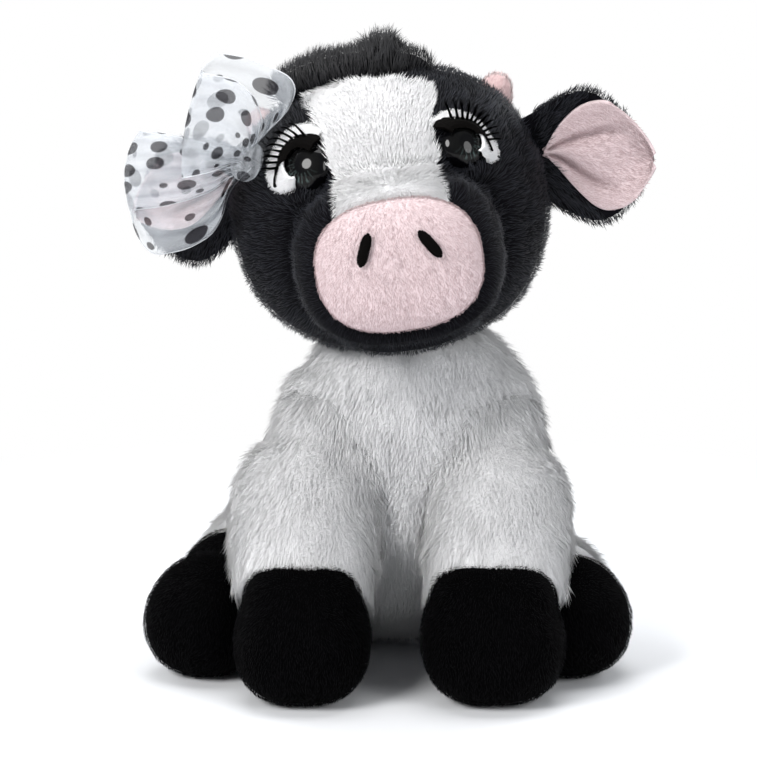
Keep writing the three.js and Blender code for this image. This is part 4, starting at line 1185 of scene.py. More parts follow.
wide = math_in(stitch_tree, "MULTIPLY", wide, given["Half Width"])
wide = math_in(
    stitch_tree, "MULTIPLY", wide,
    node_in(
        stitch_tree, "FunctionNodeRandomValue", {2: 0.94, 3: 1.05, "Seed": 5}, data_type="FLOAT"
    ).outputs[1]
)
half_thread = math_in(stitch_tree, "MULTIPLY", given["Thread Width"], 0.5)
bead = node_in(stitch_tree, "GeometryNodeMeshUVSphere", {"Segments": 12, "Rings": 6, "Radius": 1.0})
size = node_in(
    stitch_tree, "ShaderNodeCombineXYZ",
    {0: wide, 1: half_thread, 2: math_in(stitch_tree, "MULTIPLY", half_thread, 1.25)}
)
laid = node_in(
    stitch_tree, "GeometryNodeInstanceOnPoints",
    {"Points": line.outputs["Mesh"], "Instance": bead.outputs["Mesh"], "Scale": size.outputs[0]}
)
real = node_in(stitch_tree, "GeometryNodeRealizeInstances", {0: laid.outputs[0]})
here = node_in(stitch_tree, "GeometryNodeInputPosition").outputs[0]
x, y, z = node_in(stitch_tree, "ShaderNodeSeparateXYZ", {0: here}).outputs
over_x = math_in(
    stitch_tree, "POWER",
    math_in(stitch_tree, "ABSOLUTE", math_in(stitch_tree, "DIVIDE", x, given["Half Width"])), 2.0
)
over_z = math_in(
    stitch_tree, "POWER",
    math_in(stitch_tree, "ABSOLUTE", math_in(stitch_tree, "DIVIDE", z, given["Half Height"])), 2.0
)
crown = math_in(
    stitch_tree, "MULTIPLY",
    math_in(stitch_tree, "MULTIPLY_ADD", math_in(stitch_tree, "ADD", over_x, over_z), -0.6, 1.0),
    given["Crown"]
)
lift = node_in(stitch_tree, "ShaderNodeCombineXYZ", {1: math_in(stitch_tree, "MULTIPLY", crown, -1.0)})
raised = node_in(
    stitch_tree, "GeometryNodeSetPosition", {"Geometry": real.outputs[0], "Offset": lift.outputs[0]}
)
smooth = node_in(
    stitch_tree, "GeometryNodeSetShadeSmooth", {"Geometry": raised.outputs[0], "Shade Smooth": True}
)
dressed = node_in(
    stitch_tree, "GeometryNodeSetMaterial", {"Geometry": smooth.outputs[0], "Material": given["Thread"]}
)
node_in(stitch_tree, "NodeGroupOutput", {0: dressed.outputs[0]})

thread, tree = new_material("black_thread")
spot = node_in(tree, "ShaderNodeTexCoord").outputs["Object"]
twist = node_in(tree, "ShaderNodeTexNoise", {"Vector": spot, "Scale": 2600.0, "Detail": 2.0})
tint = mixed_in(tree, twist.outputs[0], (0.0006, 0.0005, 0.0004, 1), (0.0022, 0.0015, 0.0013, 1))
relief = node_in(tree, "ShaderNodeBump", {"Height": twist.outputs[0], "Distance": 0.0002, "Strength": 0.6})
surface_in(tree, {
    "Base Color": tint, "Roughness": 0.75, "Specular IOR Level": 0.05, "Normal": relief.outputs[0]
})


def facing_out(tree_of, x, z):
    """The point and normal of a skin met from the front, in the head's own frame."""
    spot, normal, _, _ = tree_of.ray_cast((x, -0.2, z), (0, 1, 0))
    return np.array(spot), np.array(normal)


def frame_on(normal, roll=0.0):
    """Turns a piece made facing -Y so that it faces along a normal, rolled about it."""
    y = -unit(normal)
    x = unit(np.cross(y, (0, 0, 1)))
    z = np.cross(x, y)
    c, s = math.cos(roll), math.sin(roll)
    return np.stack([x * c + z * s, y, z * c - x * s], 1)


stitch_rise = 0.0011  # the stitches' middle stands this far off the pad's cloth
for word, x, z, splay in (("left", -0.0112, -0.0002, -21), ("right", 0.0122, -0.0014, 32)):
    stitched = plain_mesh(f"nostril_stitching_{word}", [(0, 0, 0)], [])
    sewer = stitched.modifiers.new("stitches", "NODES")
    sewer.node_group = stitch_tree
    for item in stitch_tree.interface.items_tree:
        if item.in_out == "INPUT" and item.name == "Thread":
            sewer[item.identifier] = thread
    settled(stitched)
    spot, normal = facing_out(pad_tree, x, z)
    turn = frame_on(normal, math.radians(splay))
    move_points(stitched, points_of(stitched) @ turn.T + spot + normal * stitch_rise)
    set_on_head(stitched)
    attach(stitched, "head")
    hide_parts(f"nostril_{word}")

# The eyes: glossy plastic domes with a dark iris moulded under their clear face, on ribbed stems.
# Each stem goes through the fabric and is locked by a washer inside, and the brow's pile falls over the rim.
eye_plastic, tree = new_material("eye_plastic")
place = node_in(tree, "ShaderNodeUVMap", uv_map="dome")
centred = vector_in(tree, "SUBTRACT", place.outputs[0], (0.5, 0.5, 0))
u, v, _ = node_in(tree, "ShaderNodeSeparateXYZ", {0: centred}).outputs
radius = math_in(tree, "MULTIPLY", vector_in(tree, "LENGTH", centred), 2.0)
bearing = math_in(tree, "ARCTAN2", v, u)
rays = node_in(
    tree, "ShaderNodeCombineXYZ",
    {0: math_in(tree, "MULTIPLY", bearing, 5.5), 1: math_in(tree, "MULTIPLY", radius, 2.2)}
)
streaks = node_in(tree, "ShaderNodeTexNoise", {"Vector": rays.outputs[0], "Scale": 1.0, "Detail": 3.0})
streaks = ramp_in(tree, streaks.outputs[0], 0.5, 0.66)
inner = ramp_in(tree, radius, 0.3, 0.4, "SMOOTHSTEP")
outer = ramp_in(tree, radius, 0.8, 0.66, "SMOOTHSTEP")
iris = math_in(tree, "MULTIPLY", inner, outer)
# the iris's green-grey streaks are coloured only on its lower, outer side: the printed streaks, with painted
# light where light through the clear dome would reach the iris
downward = math_in(tree, "MULTIPLY_ADD", v, -1.0, math_in(tree, "MULTIPLY", u, 0.6))
under = ramp_in(tree, downward, -0.05, 0.4)
fleck_and_glow = math_in(tree, "MULTIPLY", math_in(tree, "MULTIPLY", iris, streaks), under)
dark = mixed_in(tree, iris, (0.001, 0.001, 0.0015, 1), (0.003, 0.003, 0.003, 1))
tint = mixed_in(tree, fleck_and_glow, dark, (0.07, 0.1, 0.097, 1))
surface_in(tree, {
    "Base Color": tint, "Roughness": 0.4, "Specular IOR Level": 0.02, "Coat Weight": 0.5,
    "Coat Roughness": 0.06
})
washer_plastic, tree = new_material("washer_plastic")
spot = node_in(tree, "ShaderNodeTexCoord").outputs["Object"]
cloud = node_in(tree, "ShaderNodeTexNoise", {"Vector": spot, "Scale": 900.0, "Detail": 3.0})
tint = mixed_in(tree, cloud.outputs[0], (0.68, 0.68, 0.66, 1), (0.8, 0.8, 0.79, 1))
relief = node_in(tree, "ShaderNodeBump", {"Height": cloud.outputs[0], "Distance": 0.0001, "Strength": 0.3})
surface_in(tree, {"Base Color": tint, "Roughness": 0.45, "Normal": relief.outputs[0]})

eye_radius = {-1: 0.0092, 1: 0.0088}
for side, word in ((-1, "left"), (1, "right")):
    r = eye_radius[side]
    points, faces = ball_form((0, 0, 0), (r, 0.0052, r), 2.0, columns=64, rows=40)
    spot, normal = facing_out(head_tree, eye_at[side][0], eye_at[side][2])
    turn = frame_on(unit(normal + np.array([side * 0.05, 0, -0.05])))
    dome = plain_mesh(f"eye_dome_{word}", points, faces)
    chart = dome.data.uv_layers.new(name="dome")
    for loop in dome.data.loops:
        p = points[loop.vertex_index]
        chart.data[loop.index].uv = (0.5 + side * p[0] / r / 2, 0.5 + p[2] / r / 2)
    shade_smooth(dome)
    put_on(dome, eye_plastic)
    middle = spot + unit(normal) * 0.0004
    move_points(dome, points @ turn.T + middle)
    set_on_head(dome)
    rings = []
    for i in range(18):
        ribbed = 0.0026 - 0.0004 * (i % 2)
        rings.append(((0, 0.0025 + 0.0007 * i, 0), ribbed, ribbed))
    points, faces = ring_form(rings, (1, 0, 0), (0, 0, 1), 2.0, 24)
    stem = plain_mesh(f"eye_stem_{word}", points @ turn.T + middle, faces)
    put_on(stem, washer_plastic)
    set_on_head(stem)
    for piece in (dome, stem):
        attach(piece, "head")
    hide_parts(f"eye_{word}")
    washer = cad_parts[f"eye_washer_{word}"]
    put_on(washer, washer_plastic)

# The eye patches and lashes: a crescent of white felted pile round the top and outside of each eye, like a
# lid, with a strip of dark thread along its inner edge. Tufts of stiff lash fibre curve out over the white.
lash_fibre = fibre_material(
    "lash_fibre", (0.003, 0.002, 0.002), (0.02, 0.009, 0.006), (0.002, 0.0012, 0.001), 0.5, 0.15
)
lid_shapes = {
    # degrees up from the outside; inner edge, lash line and outer edge, mm from the eye's middle
    -1: (
        (-54, 7.0, 8.6, 9.2), (-42, 7.0, 12.0, 12.8), (-28, 7.2, 13.8, 15.4), (-12, 7.4, 10.8, 15.6),
        (6, 7.4, 9.0, 14.6), (27, 7.4, 8.5, 13.4), (56, 7.2, 8.4, 13.4), (86, 7.2, 9.2, 14.0),
        (106, 7.2, 10.1, 14.8), (124, 7.4, 11.4, 14.6)
    ),
    1: (
        (-46, 6.4, 10.6, 11.6), (-34, 6.6, 11.0, 13.8), (-20, 6.4, 9.0, 13.1), (-7, 6.2, 7.8, 11.2),
        (15, 5.8, 6.8, 9.7), (48, 5.6, 6.7, 9.4), (78, 5.8, 7.1, 10.5), (96, 6.2, 8.0, 12.0),
        (116, 7.0, 9.9, 13.4), (136, 8.2, 12.6, 14.4)
    ),
}
# each lash: degrees at its root and tip, how far its tip reaches past the white, mm
lash_places = {
    -1: (
        (106, 76, -0.2), (92, 62, 0.1), (78, 50, 0.2), (63, 38, 0.3), (48, 27, 0.3), (33, 18, 0.4),
        (19, 10, 0.5), (6, 3, 0.4), (-6, -4, 0.2)
    ),
    1: (
        (118, 112, 1.4), (106, 100, 1.9), (94, 89, 2.2), (82, 75, 2.4), (69, 61, 2.4), (56, 48, 2.3),
        (42, 35, 2.1), (28, 23, 1.9), (14, 11, 1.7), (0, 0, 1.2), (-12, -10, 0.6)
    ),
}
lid_lines, lid_rows, strip_rows = 61, 9, 5  # lines round an eye, and points along each line
lash_sides, lash_steps = 6, 9


def lid_faces(rows, side):
    """The faces of a strip round an eye, from lines of points that run outward."""
    faces = [
        (i * rows + j, i * rows + j + 1, (i + 1) * rows + j + 1, (i + 1) * rows + j)
        for i in range(lid_lines - 1)
        for j in range(rows - 1)
    ]
    return faces if side < 0 else [face[::-1] for face in faces]


def face_front(sheet):
    """Turns a sheet over if its faces look back into the head."""
    if np.mean(normals_of(sheet)[:, 1]) > 0:
        sheet.data.flip_normals()


def lash(points, root, tip):
    """One lash: a bundle of stiff fibre that tapers along a curve of three points."""
    a, b, c = (np.array(p) for p in points)
    t = np.linspace(0, 1, lash_steps)[:, None]
    spine = a * (1 - t) ** 2 + 2 * b * t * (1 - t) + c * t * t
    skin = []
    for i in range(lash_steps):
        d = unit(spine[min(i + 1, lash_steps - 1)] - spine[max(i - 1, 0)])
        u = unit(np.cross(d, (0.1, 1, 0.2)))
        v = np.cross(d, u)
        r = root + (tip - root) * (i / (lash_steps - 1)) ** 0.8
        for j in range(lash_sides):
            w = 2 * math.pi * j / lash_sides
            skin.append(spine[i] + r * (u * math.cos(w) + v * math.sin(w) * 0.8))
    return np.array(skin), tube_faces(lash_steps, lash_sides)


for side, word in ((-1, "left"), (1, "right")):
    shape = np.array(lid_shapes[side], float)
    degrees = np.linspace(shape[0, 0], shape[-1, 0], lid_lines)
    inner, line, outer = (np.interp(degrees, shape[:, 0], shape[:, i]) / 1000 for i in (1, 2, 3))
    at = eye_at[side]

    def lid_point(degree, far, lift):
        x = at[0] + side * far * math.cos(math.radians(degree))
        z = at[2] + far * math.sin(math.radians(degree))
        spot, normal = facing_out(head_tree, x, z)
        return spot + np.array(normal) * lift

    def lid_height(share):
        return 0.0042 * (1 - share) ** 0.7 + 0.0012

    points = [
        lid_point(d, a + (c - a) * j / (lid_rows - 1), lid_height(j / (lid_rows - 1)))
        for d, a, c in zip(degrees, inner, outer)
        for j in range(lid_rows)
    ]
    felt = plain_mesh(f"eye_patch_sheet_{word}", points, lid_faces(lid_rows, side))
    face_front(felt)
    patch = walled(copy_of(felt, f"eye_patch_felt_{word}"), 0.001)
    shade_smooth(patch)
    put_on(patch, white_ground)
    co = points_of(felt)
    away = co - np.array([at[0], -0.045, at[2]])
    comb(felt, turn_with_head(away / np.linalg.norm(away, axis=1)[:, None]), 1, 1, 0.4)
    set_on_head(felt)
    set_on_head(patch)
    nap = grow_pile(
        f"eye_patch_nap_{word}", felt, white_fibre, 81 + side, spacing=0.00045, length=0.0019,
        thickness=0.00022, lock_size=0.002, lock_pull=0.3
    )
    bpy.data.objects.remove(felt)
    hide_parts(f"eye_patch_{word}")
    for piece in (patch, nap):
        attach(piece, "head")

    # the strip is broad over the top of the eye and narrows to a line at its outer corner
    strip_degrees = np.linspace(-30, shape[-1, 0] + 9, lid_lines)
    strip_inner, strip_line, strip_outer = (
        np.interp(strip_degrees, degrees, edge) for edge in (inner, line, outer)
    )
    reach_in = strip_line - (strip_line - strip_inner + 0.0006) * smooth_step(strip_degrees, -6, 24) - 0.0011
    points = []
    for d, a, b, i, o in zip(strip_degrees, reach_in, strip_line, strip_inner, strip_outer):
        for j in range(strip_rows):
            far = a + (b - a) * j / (strip_rows - 1)
            height = lid_height(np.clip((far - i) / (o - i), 0, 1)) + 0.0008
            points.append(lid_point(d, far, height + 0.0005 * math.sin(math.pi * j / (strip_rows - 1))))
    strip = plain_mesh(f"lash_strip_{word}", points, lid_faces(strip_rows, side))
    face_front(strip)
    walled(strip, 0.0012)
    put_on(strip, thread)
    points, faces, first = [], [], 0
    hairs = np.random.default_rng(7 + side)
    for from_degree, to_degree, past in lash_places[side]:
        at_line = np.interp(from_degree, degrees, line)
        at_tip = np.interp(to_degree, degrees, outer) + past / 1000
        for strand in range(4):
            off, short = (0, 1) if strand == 0 else (hairs.uniform(-3.5, 3.5), hairs.uniform(0.72, 1.04))
            root = lid_point(from_degree + off * 0.35, at_line - 0.0009, lid_height(0.25) + 0.0012)
            middle = lid_point(
                (from_degree + to_degree) / 2 + off * 0.6, at_line + (at_tip - at_line) * 0.55,
                lid_height(0.4) + 0.0032
            )
            end = lid_point(
                to_degree + off, at_line + (at_tip - at_line) * short,
                lid_height(0.9) + 0.0026 + 0.0003 * strand
            )
            shape = lash(
                (root, middle, end), 0.0006 if strand == 0 else 0.00026, 0.0001 if strand == 0 else 0.00005
            )
            points.extend(shape[0])
            faces.extend(tuple(i + first for i in face) for face in shape[1])
            first += len(shape[0])
    lashes = plain_mesh(f"lash_tufts_{word}", points, faces)
    chart = lashes.data.uv_layers.new(name="OFBake")
    for corner in lashes.data.loops:
        at_hair, at_ring = divmod(corner.vertex_index, lash_sides * lash_steps)
        up_hair = 0.96 * (at_ring // lash_sides) / (lash_steps - 1)
        chart.data[corner.index].uv = (0.1 + 0.8 * (at_hair * 0.37 % 1), 0.02 + up_hair)
    shade_smooth(lashes)
    put_on(lashes, lash_fibre)
    set_on_head(strip)
    set_on_head(lashes)
    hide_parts(f"lashes_{word}")
    for piece in (strip, lashes):
        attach(piece, "head")

# The ears: flat leaves of black pile on the back and round the edge, turned and sewn to the side of the head.
# Each is cupped by its pink plush lining, which is creased where the ear was folded into the seam.

# the upper and lower edges of an ear and of its lining, mm out from the root and up
ear_top = (
    (-10, 15), (0, 20), (6, 23.5), (12.5, 26), (20, 25), (26, 20), (31.5, 15.8), (37, 9.5), (40.5, 3),
    (42.3, -3.3)
)
ear_low = (
    (-10, -13), (1.6, -17.5), (5, -20.3), (16.4, -26.2), (24.9, -25.5), (30.2, -20.8), (36.2, -15), (40, -9),
    (42.3, -3.3)
)
lining_top = (
    (-0.5, 2.6), (4, 10), (8, 14.6), (12.3, 18.4), (17, 20.6), (22, 21.3), (27, 19.8), (31.4, 16.9),
    (35.4, 12.4), (38.8, 7), (41, 1.5), (42.2, -3.3)
)
lining_low = (
    (-0.5, 1.4), (5.7, -5.5), (10, -11), (14.9, -16.4), (19, -20), (23.2, -21.6), (28, -20.8), (32.3, -18.6),
    (38.2, -12.9), (41, -8), (42.2, -3.3)
)
ear_cup, ear_wall = 0.0075, 0.0017


def rounded(line):
    """A bent line with its corners cut three times."""
    for _ in range(3):
        cut = np.stack(
            [line[:-1] * 0.75 + line[1:] * 0.25, line[:-1] * 0.25 + line[1:] * 0.75], 1
        ).reshape(-1, 2)
        line = np.concatenate([line[:1], cut, line[-1:]])
    return line


ear_top, ear_low, lining_top, lining_low = (
    rounded(np.array(line) / 1000) for line in (ear_top, ear_low, lining_top, lining_low)
)


def sheet_faces(lines, rows):
    """The faces of a sheet, from lines of points side by side."""
    return [
        (i * rows + j, (i + 1) * rows + j, (i + 1) * rows + j + 1, i * rows + j + 1)
        for i in range(lines - 1)
        for j in range(rows - 1)
    ]


def ear_creases(x, z, low_share):
    """How deep the two creases lie, and how full the fold between them, as shares."""
    top, low = np.interp(x, *lining_top.T), np.interp(x, *lining_low.T) * low_share
    across = (z - low) / np.maximum(top - low, 0.0004) * 2 - 1
    upper = ridge(across, 0.1 + 12.5 * x, 0.12) * (1 - smooth_step(x, 0.02, 0.035))
    lower = ridge(across, -0.45 - 5 * x, 0.12) * (1 - smooth_step(x, 0.018, 0.033))
    puff = ridge(across, -0.08, 0.28) * (1 - smooth_step(x, 0.012, 0.034))
    return np.maximum(upper, lower), puff


def ear_section(x):
    """The middle and half height of an ear at a distance out from its root."""
    top, low = np.interp(x, *ear_top.T), np.interp(x, *ear_low.T)
    return (top + low) / 2, np.maximum((top - low) / 2, 0.0012)


for side, word, root, droop in (
    (-1, "left", (-0.0603, 0.0031, 0.0184), -6), (1, "right", (0.0603, 0.0031, 0.0108), 6)
):
    turn = flat_turn(droop)
    mirror = np.array([side, 1, 1])

    def on_ear(p):
        p = np.asarray(p, float) * mirror
        if side < 0:  # the left ear is folded under the bow, so it is shorter and lower
            p = p * np.where(p[:, 2:] > 0, (0.94, 1, 0.84), (0.94, 1, 1))
        return p @ turn.T + np.array(root)

    points, rings, columns = [], 30, 48
    for x in np.linspace(-0.010, 0.0423, rings):
        middle, half = ear_section(x)
        for j in range(columns):
            c, s = math.cos(2 * math.pi * j / columns), math.sin(2 * math.pi * j / columns)
            body = ear_wall * (1 + 1.6 * (1 - smooth_step(x, -0.004, 0.014)))
            y = 0.0035 - ear_cup * c * c + body * math.copysign(abs(s) ** 0.8, s)
            points.append((x, y, middle + half * c))
    outer = stuffed_skin(f"ear_back_{word}", [(points, tube_faces(rings, columns))], 0.0012, 4)
    put_on(outer, black_ground)
    co, no = points_of(outer), normals_of(outer)
    low_share = 0.55 if side < 0 else 1  # the left ear is rolled up at its lower edge
    in_lining = np.minimum(
        np.interp(co[:, 0], *lining_top.T) - co[:, 2],
        co[:, 2] - np.interp(co[:, 0], *lining_low.T) * low_share
    )
    covered = smooth_step(in_lining, -0.0022, -0.0012) * (no[:, 1] < 0.1)
    sunk, _ = ear_creases(co[:, 0], co[:, 2], low_share)
    creased = sunk * smooth_step(in_lining, -0.001, 0.003) * (co[:, 0] > 0)
    co = co + np.array([0, 0.0034, 0]) * creased[:, None]
    middle, half = ear_section(co[:, 0])
    way = ways(0.55, 0, 1.2 * (co[:, 2] - middle) / half)
    away_from_head = smooth_step(co[:, 0], -0.006, -0.002)
    shell = on_ear(co) @ head_turn.T + head_at
    way = ((way * mirror) @ turn.T) @ head_turn.T
    tip_side = smooth_step(co[:, 0], 0.03, 0.037) * smooth_step(co[:, 2], -0.014, -0.008)
    comb(outer, way, (1 - covered) * away_from_head, 0.85 * (1 - 0.6 * tip_side), 0.42)
    move_points(outer, shell)
    if side < 0:
        outer.data.flip_normals()
    fuzz = grow_pile(
        f"ear_pile_{word}", outer, black_fibre, 91 + side, spacing=0.0005, length=0.0052, thickness=0.0003,
        lock_size=0.005, lock_pull=0.6, stray=0.3
    )

    rows, columns = 33, 41
    points = []
    for x in np.linspace(-0.0004, 0.0414, columns):
        top, low = np.interp(x, *lining_top.T), np.interp(x, *lining_low.T) * low_share
        middle, half = ear_section(x)
        top, low = min(top, middle + half), max(low, middle - half)
        for j in range(rows):
            z = low + (top - low) * j / (rows - 1)
            c = np.clip((z - middle) / half, -1, 1)
            y = 0.0035 - ear_cup * c * c - ear_wall * (1 - c * c) ** 0.4
            body = ear_wall * 1.6 * (1 - smooth_step(x, -0.004, 0.014))
            y -= body * (1 - c * c) ** 0.4
            across = j / (rows - 1) * 2 - 1
            sunk, puff = ear_creases(x, z, low_share)
            points.append((x, y - 0.0011 + 0.0032 * sunk - 0.0018 * puff - 0.0006 * (1 - across * across), z))
    points = on_ear(points) @ head_turn.T + head_at
    lining_sheet = plain_mesh(f"ear_lining_sheet_{word}", points, sheet_faces(columns, rows))
    face_front(lining_sheet)
    lining = walled(copy_of(lining_sheet, f"ear_lining_plush_{word}"), 0.0012)
    shade_smooth(lining)
    put_on(lining, pink_ground)
    comb(lining_sheet, turn_with_head((np.array([0.9, 0, -0.25]) * mirror) @ turn.T), 1, 1, 0.5)
    nap = grow_pile(
        f"ear_lining_nap_{word}", lining_sheet, pink_fibre, 95 + side, spacing=0.00055, length=0.0019,
        thickness=0.00024, lock_size=0.003, lock_pull=0.5
    )
    bpy.data.objects.remove(lining_sheet)
    start = on_ear([(-0.005, 0, 0)])[0] @ head_turn.T + head_at
    end = on_ear([(0.009, 0, 0)])[0] @ head_turn.T + head_at
    for piece, slot_name in (
        (outer, "black_pile"), (fuzz, "black_pile"), (lining, "pink_plush"), (nap, "pink_plush")
    ):
        tuple(start)
        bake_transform(piece)
    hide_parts(f"ear_outer_{word}")
    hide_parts(f"ear_lining_{word}")

# The horns: two small blunt cones of pale pink plush, stuffed and sewn upright into the crown's seam.
# The black pile round their feet hides the stitching.
horn_ground = ground_material("horn_pink_ground", (0.80, 0.58, 0.58), (0.70, 0.48, 0.48), 0.0007)
horn_fibre = fibre_material(
    "horn_pink_fibre", (0.74, 0.52, 0.52), (0.90, 0.74, 0.73), (0.82, 0.62, 0.62), 0.8, 0.2
)
horn_height = 0.02
horn_taper = ((-0.3, 0.0074), (0.1, 0.0074), (0.35, 0.0064), (0.55, 0.0048), (0.66, 0.0026))
for side, word in ((-1, "left"), (1, "right")):
    root, lean = np.array([side * 0.0418, 0.0083, 0.0322]), np.array([side * 0.5, 0, 0.866])
    across = np.array([side * 0.866, 0, -0.5])
    rings = [(root + lean * horn_height * share, wide, wide) for share, wide in horn_taper]
    horn = stuffed_skin(f"horn_plush_{word}", [ring_form(rings, across, (0, 1, 0), 2.0, 40)], 0.0011, 6)
    put_on(horn, horn_ground)
    co = points_of(horn)
    comb(horn, turn_with_head(lean), smooth_step((co - root) @ lean, -0.001, 0.001), 1, 0.5)
    set_on_head(horn)
    nap = grow_pile(
        f"horn_nap_{word}", horn, horn_fibre, 99 + side, spacing=0.00055, length=0.0024, thickness=0.00024,
        lock_size=0.003
    )
    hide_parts(f"horn_{word}")
    for piece in (horn, nap):
        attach(piece, "head")

# The forelock: a ridge of the longest black pile, sewn across the crown between the horns.
# It is brushed straight up and stands in soft peaks.
# the forelock's fibres turn paler grey toward their tips as a painted highlight, as if lit from above
crest_fibre = fibre_material(
    "forelock_fibre", (0.002, 0.002, 0.003), (0.05, 0.05, 0.054), (0.006, 0.006, 0.008), 0.5, 0.3
)
crest = stuffed_skin(
    "forelock_core",
    [
        ball_form((-0.0085, -0.0005, 0.0515), (0.031, 0.0085, 0.0105)),
        ball_form((0.002, -0.0005, 0.0535), (0.0125, 0.0075, 0.009))
    ],
    0.0018, 4
)
put_on(crest, black_ground)
co, no = points_of(crest), normals_of(crest)
peaks = 0.55 + 0.45 * ridge(co[:, 0], 0.0035, 0.0065) + 0.12 * ridge(co[:, 0], -0.02, 0.008)
way = ways(co[:, 0] * 6 + 0.1, -0.12, 1) + no * 0.5
comb(crest, turn_with_head(way), smooth_step(co[:, 2], 0.0475, 0.05), peaks, 0.6)
set_on_head(crest)
crest_pile = grow_pile(
    "forelock_pile", crest, crest_fibre, 103, spacing=0.00045, length=0.0108, thickness=0.00036,
    lock_size=0.005, lock_pull=0.7, bend=0.3, stray=0.25
)
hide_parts("forelock")
for piece in (crest, crest_pile):
    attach(piece, "head")

# The bow: one wide ribbon of sheer organza with woven satin edges and printed dots, folded into two loops.
# It is gathered into a knot of the same ribbon, which is sewn to the head in front of the left ear.
organza, tree = new_material("organza")
place = node_in(tree, "ShaderNodeUVMap", uv_map="ribbon")  # metres along and across the ribbon
along_ribbon, across_ribbon, _ = node_in(tree, "ShaderNodeSeparateXYZ", {0: place.outputs[0]}).outputs
cells = node_in(
    tree, "ShaderNodeTexVoronoi", {"Vector": place.outputs[0], "Scale": 88.0, "Randomness": 0.42},
    voronoi_dimensions="2D"
)
pick, _, _ = node_in(tree, "ShaderNodeSeparateXYZ", {0: cells.outputs["Color"]}).outputs
dot_size = ramp_in(tree, pick, 0.42, 0.46, to=(0.14, 0.3))
inside = math_in(tree, "SUBTRACT", dot_size, cells.outputs["Distance"])
dot = ramp_in(tree, inside, -0.01, 0.02, "SMOOTHSTEP")
edge_of = ramp_in(tree, math_in(tree, "ABSOLUTE", across_ribbon), 0.0222, 0.0226)
warp = math_in(tree, "SINE", math_in(tree, "MULTIPLY", across_ribbon, 9000.0))
weft = math_in(tree, "SINE", math_in(tree, "MULTIPLY", along_ribbon, 9000.0))
threads = math_in(tree, "MULTIPLY_ADD", math_in(tree, "MULTIPLY", warp, weft), 0.04, 0.14)
folds = node_in(
    tree, "ShaderNodeTexNoise", {"Vector": place.outputs[0], "Scale": 60.0, "Detail": 2.0},
    noise_dimensions="2D"
)
veil = math_in(tree, "MULTIPLY_ADD", folds.outputs[0], 0.26, threads)
alpha = node_in(tree, "ShaderNodeMix", {0: dot, 2: veil, 3: 0.55}, data_type="FLOAT").outputs[0]
alpha = node_in(tree, "ShaderNodeMix", {0: edge_of, 2: alpha, 3: 0.8}, data_type="FLOAT").outputs[0]
print_tint = mixed_in(tree, dot, (0.66, 0.69, 0.73, 1), (0.035, 0.035, 0.042, 1))
tint = mixed_in(tree, edge_of, print_tint, (0.82, 0.84, 0.87, 1))
surface_in(tree, {"Base Color": tint, "Roughness": 0.75, "Alpha": alpha, "Specular IOR Level": 0.15})

knot_at = np.array([-0.0514, -0.0302, 0.0313])
ribbon_width = 0.0455


def ribbon_loop(name, low, high, length, depth, back, pleats, phase, bulge):
    """A loop whose two satin edges run out from the knot, turn over at the fold and come back behind."""
    steps, rows = 96, 49
    shares = np.linspace(0, 1, steps + 1)
    edges = []
    for line in (low, high):
        line = np.array(line, float)
        edge = np.stack([np.interp(shares, line[:, 0], line[:, i]) for i in (1, 2)], 1) / 1000
        for _ in range(5):
            edge[1:-1] = (edge[:-2] + 2 * edge[1:-1] + edge[2:]) / 4
        edges.append(edge)
    points, chart = [], []
    for s, near, far in zip(shares, *edges):
        out = math.sin(math.pi * s)
        swell = math.sin(2 * math.pi * s) * out**0.4
        for w in np.linspace(-1, 1, rows):
            spot = near + (far - near) * (w + 1) / 2
            spot = spot + spot / max(np.hypot(*spot), 1e-6) * bulge * (1 - w * w) * out * out
            gather = 0.0022 * (1 - out) ** 1.5 + 0.0007 * out
            ruffle = math.sin(w * pleats * math.pi + phase + 0.7 * s) * gather
            ruffle += 0.0012 * abs(math.sin(2.2 * w + phase + 2.5 * s)) * out
            y = -depth * swell * (1 - 0.3 * w * w) + back * out**0.5 + ruffle
            points.append(knot_at + np.array([spot[0], y, spot[1]]))
            chart.append((s * length, w * ribbon_width / 2))
    loop = plain_mesh(name, points, sheet_faces(steps + 1, rows))
    uv = loop.data.uv_layers.new(name="ribbon")
    for corner in loop.data.loops:
        uv.data[corner.index].uv = chart[corner.vertex_index]
    walled(loop, 0.00016, 0)
    shade_smooth(loop)
    put_on(loop, organza)
    set_on_head(loop)
    return loop


# each satin edge: share of the loop's length, mm across and up from the knot
upper_low = (
    (0, -1, -3.5), (0.08, -3.4, 0.6), (0.25, -12.7, -1.2), (0.5, -25.2, -2.5), (0.62, -22.4, -1.7),
    (0.8, -12.6, -0.3), (1, -1, -3.5)
)
upper_high = (
    (0, 1, 3.5), (0.1, 5.3, 6.9), (0.2, 8.8, 14.2), (0.3, 7.6, 24), (0.4, 1.4, 31.5), (0.5, -12.5, 36),
    (0.58, -5.3, 42.3), (0.68, 7.1, 37.9), (0.78, 21.2, 28.9), (0.83, 22.9, 23.1), (0.89, 17.5, 14.9),
    (0.95, 8.3, 9.5), (1, 1, 3.5)
)
lower_low = (
    (0, 1, -3.5), (0.1, -8.6, -6.3), (0.2, -15, -9.6), (0.3, -25, -11.6), (0.4, -36, -12.8),
    (0.5, -45.9, -12.6), (0.6, -46.6, -22.1), (0.68, -43.6, -29.2), (0.72, -40.1, -32), (0.8, -28.2, -31.2),
    (0.87, -18, -27.2), (0.93, -11.9, -19.6), (0.97, -9, -9.8), (1, 1, -3.5)
)
lower_high = (
    (0, -1, 3.5), (0.15, -9.3, 5.9), (0.3, -22.8, 13.1), (0.42, -32.7, 15.9), (0.5, -38.9, 16.8),
    (0.6, -36.4, 15.5), (0.75, -23.1, 11.3), (1, -1, 3.5)
)
